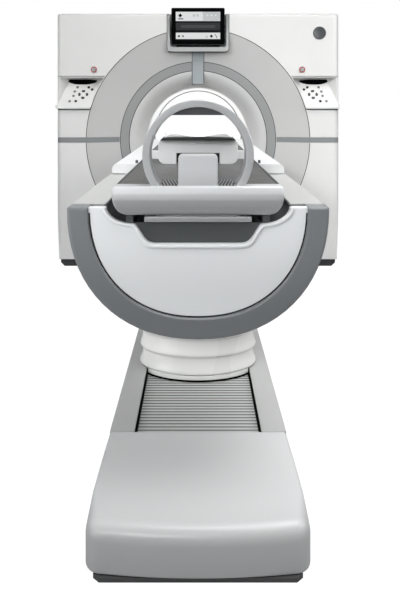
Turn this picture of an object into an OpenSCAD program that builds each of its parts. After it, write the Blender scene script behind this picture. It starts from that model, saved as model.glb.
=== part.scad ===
// CT scanner: a ring gantry with a spinning X-ray rotor, and a patient table on a travelling, lifting column.
// Millimetres. X is to the right, Y runs from the foot of the table towards the gantry, Z is up.
// The origin is on the floor, straight under the isocentre, halfway through the gantry.

/* [Gantry] */
// Overall width of the gantry covers
gantry_w = 2150; // [2060:1:2400]
// Height of the top cover above the floor
gantry_h = 1930; // [1880:1:2150]
// Depth of the gantry, front face to rear face
gantry_d = 1000; // [940:1:1100]
// Radius of the patient bore
bore_r = 400; // [380:1:415]
// Height of the covers' lower edge above the floor
skirt_z = 60; // [58:1:80]
// Wall thickness of the covers
cover_t = 6; // [5:0.5:8]
// Width of the open seam between covers
seam = 3; // [2:0.5:5]

/* [Front face] */
// Least distance from the dished ring cover to the gantry's side
side_margin = 225; // [200:1:240]
// Least distance from the dished ring cover to the gantry's top
top_margin = 115; // [100:1:130]
// Depth of the dish, front face to ring trim
dish_depth = 72; // [50:1:80]
// Radial width of the grey ring trim
trim_w = 67; // [50:1:80]
// Radial width of the bell mouth, bore to ring trim
bell_w = 130; // [110:1:140]
// Depth of the bell mouth, ring trim to bore
bell_l = 188; // [160:1:200]
// Height of the grey stripe across the front
stripe_h = 42; // [30:1:60]
// Width of the light bar over the bore
light_bar_w = 92; // [70:1:110]

/* [Display] */
// Width of the gantry display
display_w = 402; // [370:1:420]
// Thickness of the gantry display
display_t = 30; // [24:1:36]
// Forward lean of the display in degrees
display_lean = 8; // [4:1:10]
// Width of the bay that holds the display
bay_w = 468; // [460:1:500]
// Distance from the ring trim up to the bay
bay_gap = 73; // [60:1:90]

/* [Control panels] */
// Height of the panels' lower edge above the isocentre
panel_rise = 237; // [220:1:250]
// Height of a panel
panel_h = 245; // [240:1:255]
// How far a panel's lip stands in front of the gantry
panel_lip = 24; // [15:1:30]
// How far a panel's upper edge is set back
panel_recess = 85; // [70:1:95]
// Distance from the middle of the four keys to each key
key_pitch = 29; // [28:0.5:32]
// Travel of a key
key_travel = 2.5; // [1.5:0.1:3]
// Distance from the gantry's side to the emergency stops
estop_inset = 285; // [245:1:295]
// Height of the emergency stops above the panels
estop_rise_z = 54; // [45:1:90]
// Radius of an emergency stop's button
estop_r = 15; // [12:0.5:18]
// Travel of an emergency stop
estop_travel = 5; // [3:0.5:6]

/* [Rotor] */
// Thickness of the rotor drum
drum_t = 60; // [40:1:70]
// Radial thickness of the rotor's bearing seat
spigot_w = 75; // [60:1:85]
// Radius of the X-ray tube housing
tube_r = 110; // [90:1:115]
// Distance from the drum's inner edge to the tube's axis
focus_rise = 195; // [191:1:205]

/* [Table base] */
// Width of the base at its nose
base_w = 598; // [585:1:620]
// Width of the base behind its nose
base_mid_w = 582; // [570:1:590]
// Width of the base at the gantry
base_rear_w = 555; // [540:1:570]
// Height of the base
base_h = 150; // [145:1:160]
// Distance from the isocentre to the tip of the nose
base_reach = 3184; // [3170:1:3220]
// Length of the nose
nose_l = 394; // [380:1:410]
// Width of the slot that the slatted cover fills
slot_w = 420; // [410:1:440]
// Pitch of the slats
slat_pitch = 18; // [15:0.5:22]

/* [Column] */
// Distance from the isocentre to the column
column_reach = 2295; // [2260:1:2310]
// Width of the bellows over its beads
column_w = 488; // [480:1:510]
// Depth of the bellows over its beads
column_d = 280; // [274:1:300]
// Number of bellows rings
bellows_rings = 6; // [5:1:7]
// Travel of the lift
lift_travel = 300; // [250:1:300]
// Outer radius of the lowest lift tube
lift_r = 110; // [105:0.5:112]

/* [Table] */
// Width of the table body
table_w = 708; // [700:1:730]
// Height of the table body
body_h = 355; // [350:1:365]
// Height of the table deck above the floor
deck_z = 949; // [947:1:955]
// Distance from the isocentre to the front of the table
table_reach = 3107; // [3100:1:3120]
// Distance from the isocentre to the rear end of the table body
table_rear = 800; // [790:1:850]
// Wall thickness of the table shell
shell_t = 8; // [5:0.5:10]
// Width of the dark rim at the front
rim_w = 56; // [45:1:65]
// Length of the rim along the table
rim_l = 60; // [50:1:80]

/* [Cradle] */
// Width of the cradle
cradle_w = 466; // [450:1:470]
// Height of the cradle's top above the floor
cradle_z = 1005; // [1002:1:1012]
// Thickness of the cradle
cradle_t = 78; // [76:1:80]
// Distance from the isocentre to the cradle's gantry end
cradle_rear = 690; // [660:1:760]
// Outer radius of the hoop handle
hoop_r = 153; // [145:1:165]
// Radial width of the hoop's band
hoop_band = 20; // [16:1:26]
// Width of the head mount
head_w = 303; // [290:1:320]
// Distance from the isocentre to the head mount
head_reach = 2499; // [2440:1:2600]

/* [Hidden] */
$fn = 96;

// Shared small sizes: overrun of cuts, running clearance, fit between fixed pieces, steps of a rounded corner
overrun = 1;
run_gap = 0.3;
fit = 0.5;
corner_steps = 6;

// Gantry outline: planes, edge radii, and the tuck of the sides towards the floor
front_y = -gantry_d / 2;
rear_y = gantry_d / 2;
half_w = gantry_w / 2;
iso_z = gantry_h / 2;
edge_r = 30;
front_r = 40;
rear_r = 90;
rear_top_r = 60;
tuck = 18;
tuck_z = 480;
front_flange = 70;
rear_flange = 100;
flange_y = front_y + front_flange;
rear_flange_y = rear_y - rear_flange;
side_lap = 110;
vent_w = 14;
vent_l = 260;
vent_pitch = 34;
vent_count = 14;

// Front face: groove of the stripe and the light bar, ring cover, bell and rear bell
groove_d = 3;
bell_r = bore_r + bell_w;
trim_inner_r = bell_r + seam;
trim_outer_r = trim_inner_r + trim_w;
dish_r = min(half_w - side_margin, iso_z - top_margin);
stripe_top = iso_z + stripe_h / 2;
stripe_bottom = iso_z - stripe_h / 2;
trim_y = front_y + dish_depth;
lip_w = 20;
ledge_w = 40;
ledge_rib = 10;
bell_y = trim_y + bell_l;
bell_flange = 28;
bell_steps = 16;
bar_end_angle = 36;
window_t = 4;
rear_bell_l = 116;
rear_throat_y = rear_y - cover_t - rear_bell_l;
rear_bell_w = 70;
rear_bell_flange = 30;

// Display bay and display
bay_z = iso_z + trim_outer_r + bay_gap;
bay_d = 62;
bay_back_y = front_y + bay_d;
bay_r = 24;
bay_frame = 20;
bay_shelf = 34;
bay_wall = 10;
display_margin = 18;
display_lift = 54;
display_h = gantry_h - bay_z - display_margin;
display_z = bay_z + display_lift + display_h / 2;
display_out = 7;
display_y = front_y - display_out;
display_r = 10;
bezel_w = 16;
bezel_chin = 28;
screen_d = 1.5;
neck_w = 120;
neck_h = 70;

// Control panel section: the slope runs from the lip to the set-back upper edge
panel_wall = 12;
panel_roof = 6;
panel_lip_h = 18;
lip_round = 4;
edge_strip = 14;
lip_wrap = 4;
lip_end_h = 32;
cheek_w = 70;
cheek_t = 8;
panel_z = iso_z + panel_rise;
panel_top = panel_z + panel_h;
panel_x = half_w - edge_strip;
lip_y = front_y - panel_lip;
slope_foot = [lip_y + lip_round, panel_z + panel_lip_h];
slope_top = [front_y + panel_recess, panel_top - panel_roof - lip_round * 2];
slope = slope_top - slope_foot;
panel_lean = atan2(slope[0], slope[1]);
panel_in = panel_wall * [cos(panel_lean), -sin(panel_lean)];
slope_l = norm(slope);

// Keys, in the plane of the panel: the group of four, the small round keys, the arrow keys and the strip
key_inset = 197;
key_place_share = 0.43;
key_place = [half_w - key_inset, slope_l * key_place_share];
petal_r = 15;
petal_shift = 5.5;
key_rise = 5;
key_tail = 1;
small_key_r = 11;
small_key_rise = 3;
dot_r = 7;
small_key_shares = [[1.7, 2.15], [2.3, 0.85], [2.5, -0.45], [3.35, -2], [1.75, -2], [-1.3, 2.1], [-2.25, 1.45]];
strip_w = 226;
strip_h = 34;
strip_inset = 179;
strip_place_share = 0.885;
strip_x = half_w - strip_inset;
strip_place = slope_l * strip_place_share;

// Emergency stops
estop_x = half_w - estop_inset;
estop_z = panel_top + estop_rise_z;
collar_r = 23;
collar_h = 8;
estop_rise = 16;
estop_tail = 24;
estop_dome = 3;

// Frame: floor frame, bearing wall and cover posts
foot_h = 56;
foot_inset = 26;
foot_bevel = 28;
foot_set = 30;
foot_y = gantry_d / 2 - foot_set;
beam_w = 130;
anchor_inset = 165;
anchor_x = half_w - anchor_inset;
anchor_set = 90;
anchor_y = foot_y - anchor_set;
anchor_r = 11;
rotor_set = 500;
drum_back_y = front_y + rotor_set;
wall_set = 110;
wall_y = drum_back_y + wall_set;
wall_t = 80;
wall_hole_r = 140;
wall_hole_side = 275;
wall_hole_x = half_w - wall_hole_side;
wall_hole_top = 245;
wall_hole_z = iso_z - wall_hole_top;
post_s = 40;
post_inset = 31;
post_front_y = slope_top[0] + 2 * panel_wall;
post_rear_lap = 30;
post_rear_y = rear_flange_y - post_rear_lap;
pad_h = 60;
pad_low = 507;
pad_middle = 140;
pad_high = 193;
pad_places = [panel_z - pad_low, panel_z - pad_middle, panel_top + pad_high];
side_wall_x = half_w - cover_t;
post_x = side_wall_x - post_inset + cover_t;
rail_top = gantry_h - cover_t;

// Rotor: everything turns about the bore axis, on the drum's front face
drum_r = dish_r;
drum_front_y = drum_back_y - drum_t;
drum_clear = 45;
drum_inner_r = bore_r + drum_clear;
wall_bore_gap = 5;
wall_bore_r = drum_inner_r + wall_bore_gap;
spigot_r = drum_inner_r + spigot_w;
focus_r = drum_inner_r + focus_rise;
spigot_gap = 2;
spigot_end_y = wall_y - spigot_gap;
bearing_w = 60;
bearing_l = 90;
slip_set = 70;
slip_inner_r = spigot_r + slip_set;
stator_set = 120;
stator_inner_r = spigot_r + stator_set;
stator_w = 60;
stator_gap = 2;
slip_w = 40;
slip_t = 18;
tube_l = 240;
tube_neck_l = 60;
tube_neck_share = 0.77;
tube_flange = 20;
tube_flange_t = 14;
collimator_w = 200;
collimator_l = 190;
detector_arc = 28;
detector_t = 70;
detector_l = 150;
detector_steps = 16;
generator_set = 35;
generator_x = drum_inner_r + generator_set;
generator_w = 310;
generator_h = 360;
generator_l = 240;
weight_l = 150;

// Base: plinth, cover, nose, rails and slatted cover
base_front_y = -base_reach;
nose_y = base_front_y + nose_l;
base_rear_y = front_y - run_gap;
plinth_h = 12;
plinth_inset = 26;
plinth_set = 7;
plinth_bevel = 18;
base_wall = 6;
nose_corner_r = 45;
nose_bow = 14;
nose_bow_steps = 8;
nose_round = 34;
nose_fall = 16;
nose_low_r = 25;
base_anchor_x = 215;
base_anchor_rows = [base_front_y + nose_l / 2, front_y - nose_l / 2];
base_anchor_r = 7;
rail_x = 150;
rail_w = 24;
rail_h = 22;
rail_end = 60;
slot_rear = 735;
slot_rear_y = slot_rear - column_reach;
slat_side_gap = 6;
slat_t = 8;
slat_clear = 2;
slat_z = base_h - base_wall - nose_fall - slat_clear;
slat_groove = 4;
slat_land_share = 0.66;
slat_front_lap = 260;
slat_rear_lap = 110;
slat_front_y = nose_y - slat_front_lap;
slat_rear_y = slot_rear_y + slat_rear_lap;

// Carriage, lift tubes and bellows
column_y = -column_reach;
carriage_w = 380;
carriage_l = 460;
carriage_bottom = plinth_h + rail_h + run_gap;
carriage_top = slat_z - slat_t;
neck_wall = 8;
flange_gap = 2;
flange_t = 6;
flange_inset = 5;
flange_top = base_h + flange_gap + flange_t;
lift_wall = 15;
lift_bottom = 70;
lift_overlap = 50;
stage_l = lift_travel / 2 + lift_overlap;
middle_bottom = lift_bottom + lift_travel / 2;
inner_bottom = lift_bottom + lift_travel;
saddle_drop = 16;
saddle_z = deck_z - body_h - saddle_drop;
saddle_inset = 16;
oval_end_r = 95;
oval_steps = 16;
bellows_wall = 4;
bellows_depth = 13;
bellows_shares = [
    [0, 0.5], [0.05, 0.1], [0.11, 0], [0.18, 0.06], [0.32, 0.36], [0.5, 0.68], [0.72, 0.9], [0.94, 1]
];

// Table body: a superellipse section, its notch and pan
table_front_y = -table_reach;
table_rear_y = -table_rear;
u_power = 2.2;
u_steps = 18;
panel_set = 5;
end_panel_t = 20;
end_panel_y = table_front_y + panel_set;
notch_w = 251;
notch_step_x = 172;
notch_step_d = 47;
notch_d = 100;
notch_foot_shares = [[0.661, 0.54], [0.586, 0.84], [0.554, 0.93], [0.518, 0.98], [0.47, 1]];
notch_steps = 8;
notch_lip = 9;
pan_gap = 4;
pan_t = 5;
pan_rail_x = 178;
pan_rail_w = 20;
pan_plate_gap = 4;
shoulder_set = 703;
shoulder_y = table_front_y + shoulder_set;
shoulder_x = 243;
shoulder_out = 346;
shoulder_h = 42;
shoulder_r = 20;
slit_h = 4;
slit_d = 8;

// Cradle, end cap, hoop and head rest
cradle_front_y = table_front_y;
cap_l = 60;
cap_bulge_r = 64;
cap_top_r = 6;
cap_low_w = 38;
cap_low_h = 57;
cradle_inset = 2;
cradle_bottom = cradle_z - cradle_t;
cradle_deck_z = cradle_z - cradle_inset;
tongue_w = 292;
tongue_t = 14;
tongue_l = 100;
tongue_web = 5;
tongue_set = 12;
post_w = 108;
post_h = 87;
post_d = 34;
post_r = 12;
post_set = 12;
cradle_post_y = cradle_front_y + post_set;
hoop_set = 22;
hoop_front_y = cradle_front_y + hoop_set;
hoop_d = 75;
hoop_lift = 83;
hoop_z = cradle_z + hoop_lift;
grip_chord = 111;
grip_gap = 0.2;
grip_inset = 8;
head_y = -head_reach;
head_d = 40;
head_h = 85;
head_notch_w = 167;
head_notch_h = 42;
head_low_r = 26;
ear_w = 32;
ear_h = 31;
ear_z = 19;
strip_t = 6;
tray_w = 288;
tray_t = 8;
tray_l = 240;
tray_slant = 8;
tray_front = 20;
pad_w = 276;
pad_peak_x = 106;
pad_peak_h = 32;
pad_dip_h = 6;
pad_edge_h = 4;
pad_end_gap = 8;
pad_steps = 10;

// Points of an arc about c, from angle a0 to a1
function arc(c, r, a0, a1, n = corner_steps) =
    [for (i = [0:n]) let (a = a0 + (a1 - a0) * i / n) c + r * [cos(a), sin(a)]];

// Points of a quarter-ellipse stretch about c
function ellipse_arc(c, rx, ry, a0, a1, n = corner_steps) =
    [for (i = [0:n]) let (a = a0 + (a1 - a0) * i / n) c + [rx * cos(a), ry * sin(a)]];

function reversed(list) = [for (i = [len(list) - 1:-1:0]) list[i]];
function flipped(list) = [for (p = reversed(list)) [-p[0], p[1]]];
function both_sides(list) = concat(list, flipped(list));

// Centred rectangle with rounded corners
function rounded_rect(w, h, r) = concat(
    arc([w / 2 - r, h / 2 - r], r, 0, 90), arc([r - w / 2, h / 2 - r], r, 90, 180),
    arc([r - w / 2, r - h / 2], r, 180, 270), arc([w / 2 - r, r - h / 2], r, 270, 360));

// Box from low and high values along each axis
module block(x, y, z) {
    translate([x[0], y[0], z[0]]) cube([x[1] - x[0], y[1] - y[0], z[1] - z[0]]);
}

// Extrusions between two planes: a front outline along Y, a side outline along X, a plan along Z
module extrude_y(y0, y1) {
    translate([0, y1, 0]) rotate([90, 0, 0]) linear_extrude(y1 - y0) children();
}

module extrude_x(x0, x1) {
    translate([x0, 0, 0]) rotate([90, 0, 90]) linear_extrude(x1 - x0) children();
}

module extrude_z(z0, z1) {
    translate([0, 0, z0]) linear_extrude(z1 - z0) children();
}

// Revolve of [radius, y] points about the bore axis
module revolve(points) {
    translate([0, 0, iso_z]) rotate([-90, 0, 0]) rotate_extrude() polygon(points);
}

module bore_disc(r, y0, y1) {
    translate([0, y0, iso_z]) rotate([-90, 0, 0]) cylinder(h = y1 - y0, r = r);
}

module ring(r0, r1, y0, y1) {
    revolve([[r0, y0], [r1, y0], [r1, y1], [r0, y1]]);
}

module on_side(side) {
    if (side < 0) mirror([1, 0, 0]) children();
    else children();
}

// Outlines of the gantry, inset from its outer faces
function gantry_front_outline(inset, floor_z) = both_sides(concat(
    [[half_w - tuck - inset, floor_z], [half_w - inset, tuck_z]],
    arc([half_w - edge_r, gantry_h - edge_r], edge_r - inset, 0, 90)));

function gantry_plan_outline(inset) = both_sides(concat(
    arc([half_w - front_r, front_y + front_r], front_r - inset, -90, 0),
    arc([half_w - rear_r, rear_y - rear_r], rear_r - inset, 0, 90)));

function gantry_side_outline(inset, floor_z) = concat(
    [[rear_y - inset, floor_z]],
    arc([rear_y - rear_top_r, gantry_h - rear_top_r], rear_top_r - inset, 0, 90),
    arc([front_y + edge_r, gantry_h - edge_r], edge_r - inset, 90, 180),
    [[front_y + inset, floor_z]]);

module gantry_form(inset, floor_z) {
    intersection() {
        extrude_y(front_y + inset, rear_y - inset) polygon(gantry_front_outline(inset, floor_z));
        extrude_z(floor_z, gantry_h) polygon(gantry_plan_outline(inset));
        extrude_x(-half_w, half_w) polygon(gantry_side_outline(inset, floor_z));
    }
}

module gantry_shell() {
    difference() {
        gantry_form(0, skirt_z);
        gantry_form(cover_t, skirt_z - overrun);
    }
}

// Front surface of the dish at radius r, and the thin surface layer that the stripe and light bar fill
function dish_y(r) = front_y + dish_depth * (dish_r - r) / (dish_r - trim_outer_r);
function bell_point(angle, inset) = [
    bell_r - (bell_r - bore_r - inset) * cos(angle),
    bell_y - (bell_l - inset) * sin(angle)];
function bell_curve(inset, a0, a1) =
    [for (i = [0:bell_steps]) bell_point(a0 + (a1 - a0) * i / bell_steps, inset)];
function front_layer(inset) = concat(
    [[dish_r, front_y + inset], [trim_outer_r, trim_y + inset]], bell_curve(inset, 90, bar_end_angle));

module stripe_layer() {
    revolve([[trim_outer_r + seam, dish_y(trim_outer_r + seam)], [dish_r, front_y],
        [dish_r, front_y + groove_d], [trim_outer_r + seam, dish_y(trim_outer_r + seam) + groove_d]]);
}

module stripe_band(side_gap, x0) {
    block([x0, half_w + overrun], [front_y - overrun, flange_y],
        [stripe_bottom + side_gap, stripe_top - side_gap]);
}

module light_bar_groove() {
    end_r = bell_point(bar_end_angle, groove_d)[0];
    intersection() {
        block([-light_bar_w / 2, light_bar_w / 2], [front_y - 2 * overrun, bell_y], [iso_z, gantry_h]);
        revolve(concat([[dish_r, front_y - overrun], [trim_outer_r, trim_y - overrun],
            [end_r, trim_y - overrun]], reversed(front_layer(groove_d))));
    }
}

// Space of the display bay, grown by a seam
module bay_space(grow, y0, y1) {
    extrude_y(y0, y1) polygon(both_sides(concat(
        arc([bay_w / 2 - bay_r, bay_z + bay_r], bay_r + grow, 270, 360),
        [[bay_w / 2 + grow, gantry_h + overrun]])));
}

// Covers of the gantry

module upper_panel() {
    estop_through = front_flange / 3;
    difference() {
        union() {
            intersection() {
                gantry_shell();
                block([0, half_w], [front_y, flange_y], [stripe_top, gantry_h]);
            }
            estop_disc(collar_r, front_y - collar_h, front_y + cover_t);
        }
        bore_disc(dish_r + seam / 2, front_y - overrun, flange_y + overrun);
        bay_space(seam, front_y - overrun, flange_y + overrun);
        block([0, panel_x + fit], [front_y - overrun, flange_y + overrun], [panel_z - fit, panel_top + fit]);
        estop_disc(estop_r + run_gap, front_y - estop_through, front_y + estop_through);
    }
}

module estop_disc(r, y0, y1) {
    translate([estop_x, y0, estop_z]) rotate([-90, 0, 0]) cylinder(h = y1 - y0, r = r);
}

module front_upper_left_panel() { color("gainsboro") on_side(-1) upper_panel(); }
module front_upper_right_panel() { color("gainsboro") on_side(1) upper_panel(); }

module lower_panel() {
    difference() {
        intersection() {
            gantry_shell();
            block([seam / 2, half_w], [front_y, flange_y], [skirt_z, stripe_top - fit]);
        }
        bore_disc(dish_r + seam / 2, front_y - overrun, flange_y + overrun);
        difference() {
            stripe_band(0, 0);
            gantry_form(groove_d, skirt_z - overrun);
        }
    }
}

module front_lower_left_panel() { color("lightgray") on_side(-1) lower_panel(); }
module front_lower_right_panel() { color("gainsboro") on_side(1) lower_panel(); }

module front_ring_cover() {
    inner_r = trim_outer_r + seam;
    outer_r = dish_r - seam / 2;
    rib_r = inner_r + ledge_rib;
    back_y = trim_y + 2 * cover_t;
    color("whitesmoke") difference() {
        union() {
            revolve([[inner_r, dish_y(inner_r)], [outer_r, dish_y(outer_r)], [outer_r, front_y + cover_t],
                [rib_r, dish_y(rib_r) + cover_t], [rib_r, back_y], [trim_outer_r - ledge_w, back_y],
                [trim_outer_r - ledge_w, trim_y + cover_t], [inner_r, trim_y + cover_t]]);
            intersection() {
                ring(outer_r - lip_w, dish_r + lip_w, front_y + cover_t, front_y + 2 * cover_t);
                block([-half_w, half_w], [front_y, flange_y], [0, stripe_bottom]);
            }
        }
        intersection() {
            block([-half_w, half_w], [front_y - overrun, flange_y], [stripe_bottom, stripe_top]);
            stripe_layer();
        }
        light_bar_groove();
        bay_space(seam, front_y - overrun, flange_y + overrun);
    }
}

module ring_trim() {
    color("darkgray") difference() {
        ring(trim_inner_r, trim_outer_r, trim_y, trim_y + cover_t);
        light_bar_groove();
    }
}

module stripe_trims() {
    color("slategray") for (side = [-1, 1]) on_side(side) intersection() {
        stripe_band(seam / 2, trim_outer_r);
        union() {
            difference() {
                gantry_form(0, skirt_z);
                gantry_form(groove_d, skirt_z - overrun);
                bore_disc(dish_r, front_y - overrun, flange_y + overrun);
            }
            stripe_layer();
        }
    }
}

// The bar follows the dish down to the ring trim and then runs on straight, in front of the bell
module light_bar() {
    half = light_bar_w / 2 - seam / 2;
    bell_inset = groove_d - seam / 2;
    end_r = bell_point(bar_end_angle, bell_inset)[0];
    color("lightsteelblue") intersection() {
        block([-half, half], [front_y - overrun, bell_y], [iso_z + end_r + seam, bay_z - seam]);
        revolve(concat([[dish_r, front_y], [trim_outer_r, trim_y], [end_r, trim_y]],
            bell_curve(bell_inset, bar_end_angle, 90), [[trim_inner_r, trim_y + groove_d],
                [trim_outer_r, trim_y + groove_d], [dish_r, front_y + groove_d]]));
    }
}

module front_bell() {
    flange_back_y = trim_y + 2 * cover_t;
    back_angle = asin((bell_l - 2 * cover_t) / (bell_l - cover_t));
    color("white") difference() {
        revolve(concat(
            bell_curve(0, 90, 0), bell_curve(cover_t, 0, back_angle),
            [[bell_r + bell_flange, flange_back_y], [bell_r + bell_flange, trim_y + cover_t],
                [bell_r, trim_y + cover_t]]));
        light_bar_groove();
    }
}

module bore_window() {
    color("ghostwhite") ring(bore_r, bore_r + window_t, bell_y, rear_throat_y);
}

function rear_bell_curve(inset, a0, a1) = [for (i = [0:bell_steps])
    let (a = a0 + (a1 - a0) * i / bell_steps)
    [bore_r + rear_bell_w - (rear_bell_w - inset) * cos(a),
        rear_throat_y + (rear_y - cover_t - rear_throat_y - inset) * sin(a)]];

module rear_bell() {
    mouth_r = bore_r + rear_bell_w;
    color("white") revolve(concat(
        rear_bell_curve(0, 0, 90),
        [[mouth_r + rear_bell_flange, rear_y - cover_t], [mouth_r + rear_bell_flange, rear_y - 2 * cover_t]],
        rear_bell_curve(cover_t, 90, 0)));
}

module side_cover() {
    intersection() {
        gantry_shell();
        block([half_w - side_lap, half_w], [flange_y + seam, rear_flange_y - seam], [skirt_z, gantry_h]);
    }
}

module left_side_cover() { color("gainsboro") on_side(-1) side_cover(); }
module right_side_cover() { color("gainsboro") on_side(1) side_cover(); }

module top_cover() {
    lap = half_w - side_lap - seam;
    vent_y = (flange_y + rear_flange_y) / 2;
    color("whitesmoke") difference() {
        intersection() {
            gantry_shell();
            block([-lap, lap], [flange_y + seam, rear_flange_y - seam], [iso_z, gantry_h]);
        }
        for (i = [0:vent_count - 1]) translate([(i - (vent_count - 1) / 2) * vent_pitch, vent_y, 0])
            extrude_z(rail_top - overrun, gantry_h + overrun) polygon(rounded_rect(vent_w, vent_l, vent_w / 3));
    }
}

module rear_cover() {
    color("gainsboro") difference() {
        intersection() {
            gantry_shell();
            block([-half_w, half_w], [rear_flange_y, rear_y], [skirt_z, gantry_h]);
        }
        bore_disc(bore_r + rear_bell_w + seam, rear_flange_y, rear_y + overrun);
    }
}

module display_bay() {
    inner = bay_w / 2 - bay_frame;
    color("silver") difference() {
        intersection() {
            bay_space(0, front_y, bay_back_y);
            gantry_form(0, skirt_z);
        }
        extrude_y(front_y - overrun, bay_back_y - bay_wall) polygon(both_sides(concat(
            arc([inner - bay_r, bay_z + bay_shelf + bay_r], bay_r, 270, 360),
            [[inner, gantry_h + overrun]])));
    }
}

module display_housing() {
    screen_w = display_w - 2 * bezel_w * 2;
    screen_h = display_h - bezel_chin * 2;
    color("black") {
        translate([0, display_y, display_z]) rotate([display_lean, 0, 0]) difference() {
            extrude_y(-display_t / 2, display_t / 2) polygon(rounded_rect(display_w, display_h, display_r));
            extrude_y(-display_t / 2 - overrun, screen_d - display_t / 2)
                polygon(rounded_rect(screen_w, screen_h, screen_d));
        }
        translate([0, 0, display_z]) block([-neck_w / 2, neck_w / 2],
            [display_y, bay_back_y - bay_wall], [-neck_h, 0]);
    }
}

// Control panels, keys and emergency stops

module on_panel(place) {
    translate([place[0], slope_foot[0], slope_foot[1]]) rotate([90 - panel_lean, 0, 0])
        translate([0, place[1], 0]) children();
}

module petal(r) {
    intersection_for (shift = [-petal_shift, petal_shift]) translate([0, shift]) circle(r);
}

function key_at(dx, dv) = key_place + key_pitch * [dx, dv];

module control_panel() {
    back_foot = slope_foot + panel_in;
    back_top = slope_top + panel_in;
    inner_x = bore_r;
    ring_r = dish_r + seam / 2;
    difference() {
        union() {
            extrude_x(inner_x, panel_x) polygon([
                [front_y, panel_top], [front_y, panel_top - panel_roof], slope_top, slope_foot,
                [lip_y, slope_foot[1] - lip_round], [lip_y, panel_z + lip_round], [lip_y + lip_round, panel_z],
                [back_foot[0], panel_z], back_foot, back_top, [back_top[0], panel_top]]);
            block([panel_x - overrun, half_w + lip_wrap], [lip_y, front_y],
                [panel_z, panel_z + lip_end_h]);
            extrude_z(slope_foot[1], panel_top) polygon([[panel_x, front_y], [panel_x - cheek_t, front_y],
                [panel_x - cheek_w, slope_top[0]], [panel_x, slope_top[0]]]);
            intersection() {
                bore_disc(ring_r + cheek_t, front_y, back_top[0]);
                block([inner_x, panel_x], [front_y, back_top[0]], [slope_foot[1], panel_top]);
            }
            for (share = small_key_shares) on_panel(key_at(share[0], share[1]))
                translate([0, 0, -overrun]) cylinder(h = small_key_rise + overrun, r = small_key_r);
            on_panel(key_place) translate([0, 0, -overrun]) cylinder(h = small_key_rise + overrun, r = dot_r);
            on_panel([strip_x, strip_place]) translate([0, 0, -overrun])
                linear_extrude(small_key_rise + overrun) polygon(rounded_rect(strip_w, strip_h, lip_round));
        }
        bore_disc(ring_r, lip_y - overrun, back_top[0] + overrun);
        for (turn = [0, 90, 180, 270]) key_space(turn, petal_r, panel_wall + overrun * 2, overrun);
    }
}

// Prism of one of the four keys, from below the panel's surface to above it
module key_space(turn, r, below, above) {
    on_panel(key_place) rotate([0, 0, turn]) translate([0, key_pitch, -below])
        linear_extrude(below + above) petal(r);
}

module panel_key(side, turn) {
    color("lightgray") on_side(side) key_space(turn, petal_r - run_gap, panel_wall + key_tail, key_rise);
}

module left_control_panel() { color("whitesmoke") on_side(-1) control_panel(); }
module right_control_panel() { color("whitesmoke") on_side(1) control_panel(); }
module left_key_up() { panel_key(-1, 0); }
module left_key_out() { panel_key(-1, 90); }
module left_key_down() { panel_key(-1, 180); }
module left_key_in() { panel_key(-1, 270); }
module right_key_up() { panel_key(1, 0); }
module right_key_out() { panel_key(1, 90); }
module right_key_down() { panel_key(1, 180); }
module right_key_in() { panel_key(1, 270); }

module estop() {
    translate([estop_x, front_y, estop_z]) rotate([-90, 0, 0]) rotate_extrude() polygon([
        [0, -estop_rise], [estop_r - estop_dome, -estop_rise], [estop_r, estop_dome - estop_rise],
        [estop_r, estop_tail], [0, estop_tail]]);
}

module left_estop() { color("firebrick") on_side(-1) estop(); }
module right_estop() { color("firebrick") on_side(1) estop(); }

// Fixed frame of the gantry, bearing and drive

module gantry_frame() {
    foot_w = half_w - foot_inset;
    pads_y = [[bay_back_y, post_front_y + post_s], [post_rear_y, post_rear_y + post_s]];
    color("dimgray") difference() {
        union() {
            difference() {
                extrude_y(-foot_y, foot_y) polygon(both_sides([
                    [foot_w - foot_bevel, 0], [foot_w, foot_bevel], [foot_w, foot_h]]));
                block([2 * beam_w - half_w, half_w - 2 * beam_w], [beam_w - foot_y, wall_y - post_s],
                    [-overrun, foot_h + overrun]);
            }
            block([-post_x, post_x], [wall_y, wall_y + wall_t], [foot_h, rail_top]);
            block([-post_x, post_x], [bay_back_y, post_front_y + post_s], [rail_top - post_s, rail_top]);
            block([-post_x, post_x], [post_rear_y, post_rear_y + post_s], [rail_top - post_s, rail_top]);
            for (side = [-1, 1]) on_side(side) {
                block([post_x - post_s, post_x], [post_front_y, post_rear_y + post_s],
                    [rail_top - post_s, rail_top]);
                for (y = [post_front_y, post_rear_y])
                    block([post_x - post_s, post_x], [y, y + post_s], [foot_h, rail_top]);
                for (z = pad_places, y = pads_y) block([post_x - post_s, side_wall_x], y, [z, z + pad_h]);
            }
        }
        bore_disc(wall_bore_r, wall_y - overrun, wall_y + wall_t + overrun);
        for (x = [-wall_hole_x, wall_hole_x], z = [-wall_hole_z, wall_hole_z])
            translate([x, 0, z]) bore_disc(wall_hole_r, wall_y - overrun, wall_y + wall_t + overrun);
        for (x = [-anchor_x, anchor_x], y = [-anchor_y, anchor_y])
            translate([x, y, -overrun]) cylinder(h = foot_h + 2 * overrun, r = anchor_r);
    }
}

module main_bearing() {
    color("silver") ring(spigot_r + run_gap, spigot_r + bearing_w, wall_y - bearing_l, wall_y);
}

module drive_stator() {
    color("peru") ring(stator_inner_r, stator_inner_r + stator_w, drum_back_y + stator_gap, wall_y);
}

// Rotor

module rotor_drum() {
    weight_x = generator_x + generator_w - weight_l * 1.5;
    color("gray") union() {
        revolve([[drum_inner_r, drum_front_y], [drum_r, drum_front_y], [drum_r, drum_back_y],
            [spigot_r, drum_back_y], [spigot_r, spigot_end_y], [drum_inner_r, spigot_end_y]]);
        translate([0, 0, iso_z]) block([weight_x, weight_x + 1.5 * weight_l],
            [drum_front_y - weight_l / 2, drum_front_y], [-weight_l, weight_l]);
    }
}

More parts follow.
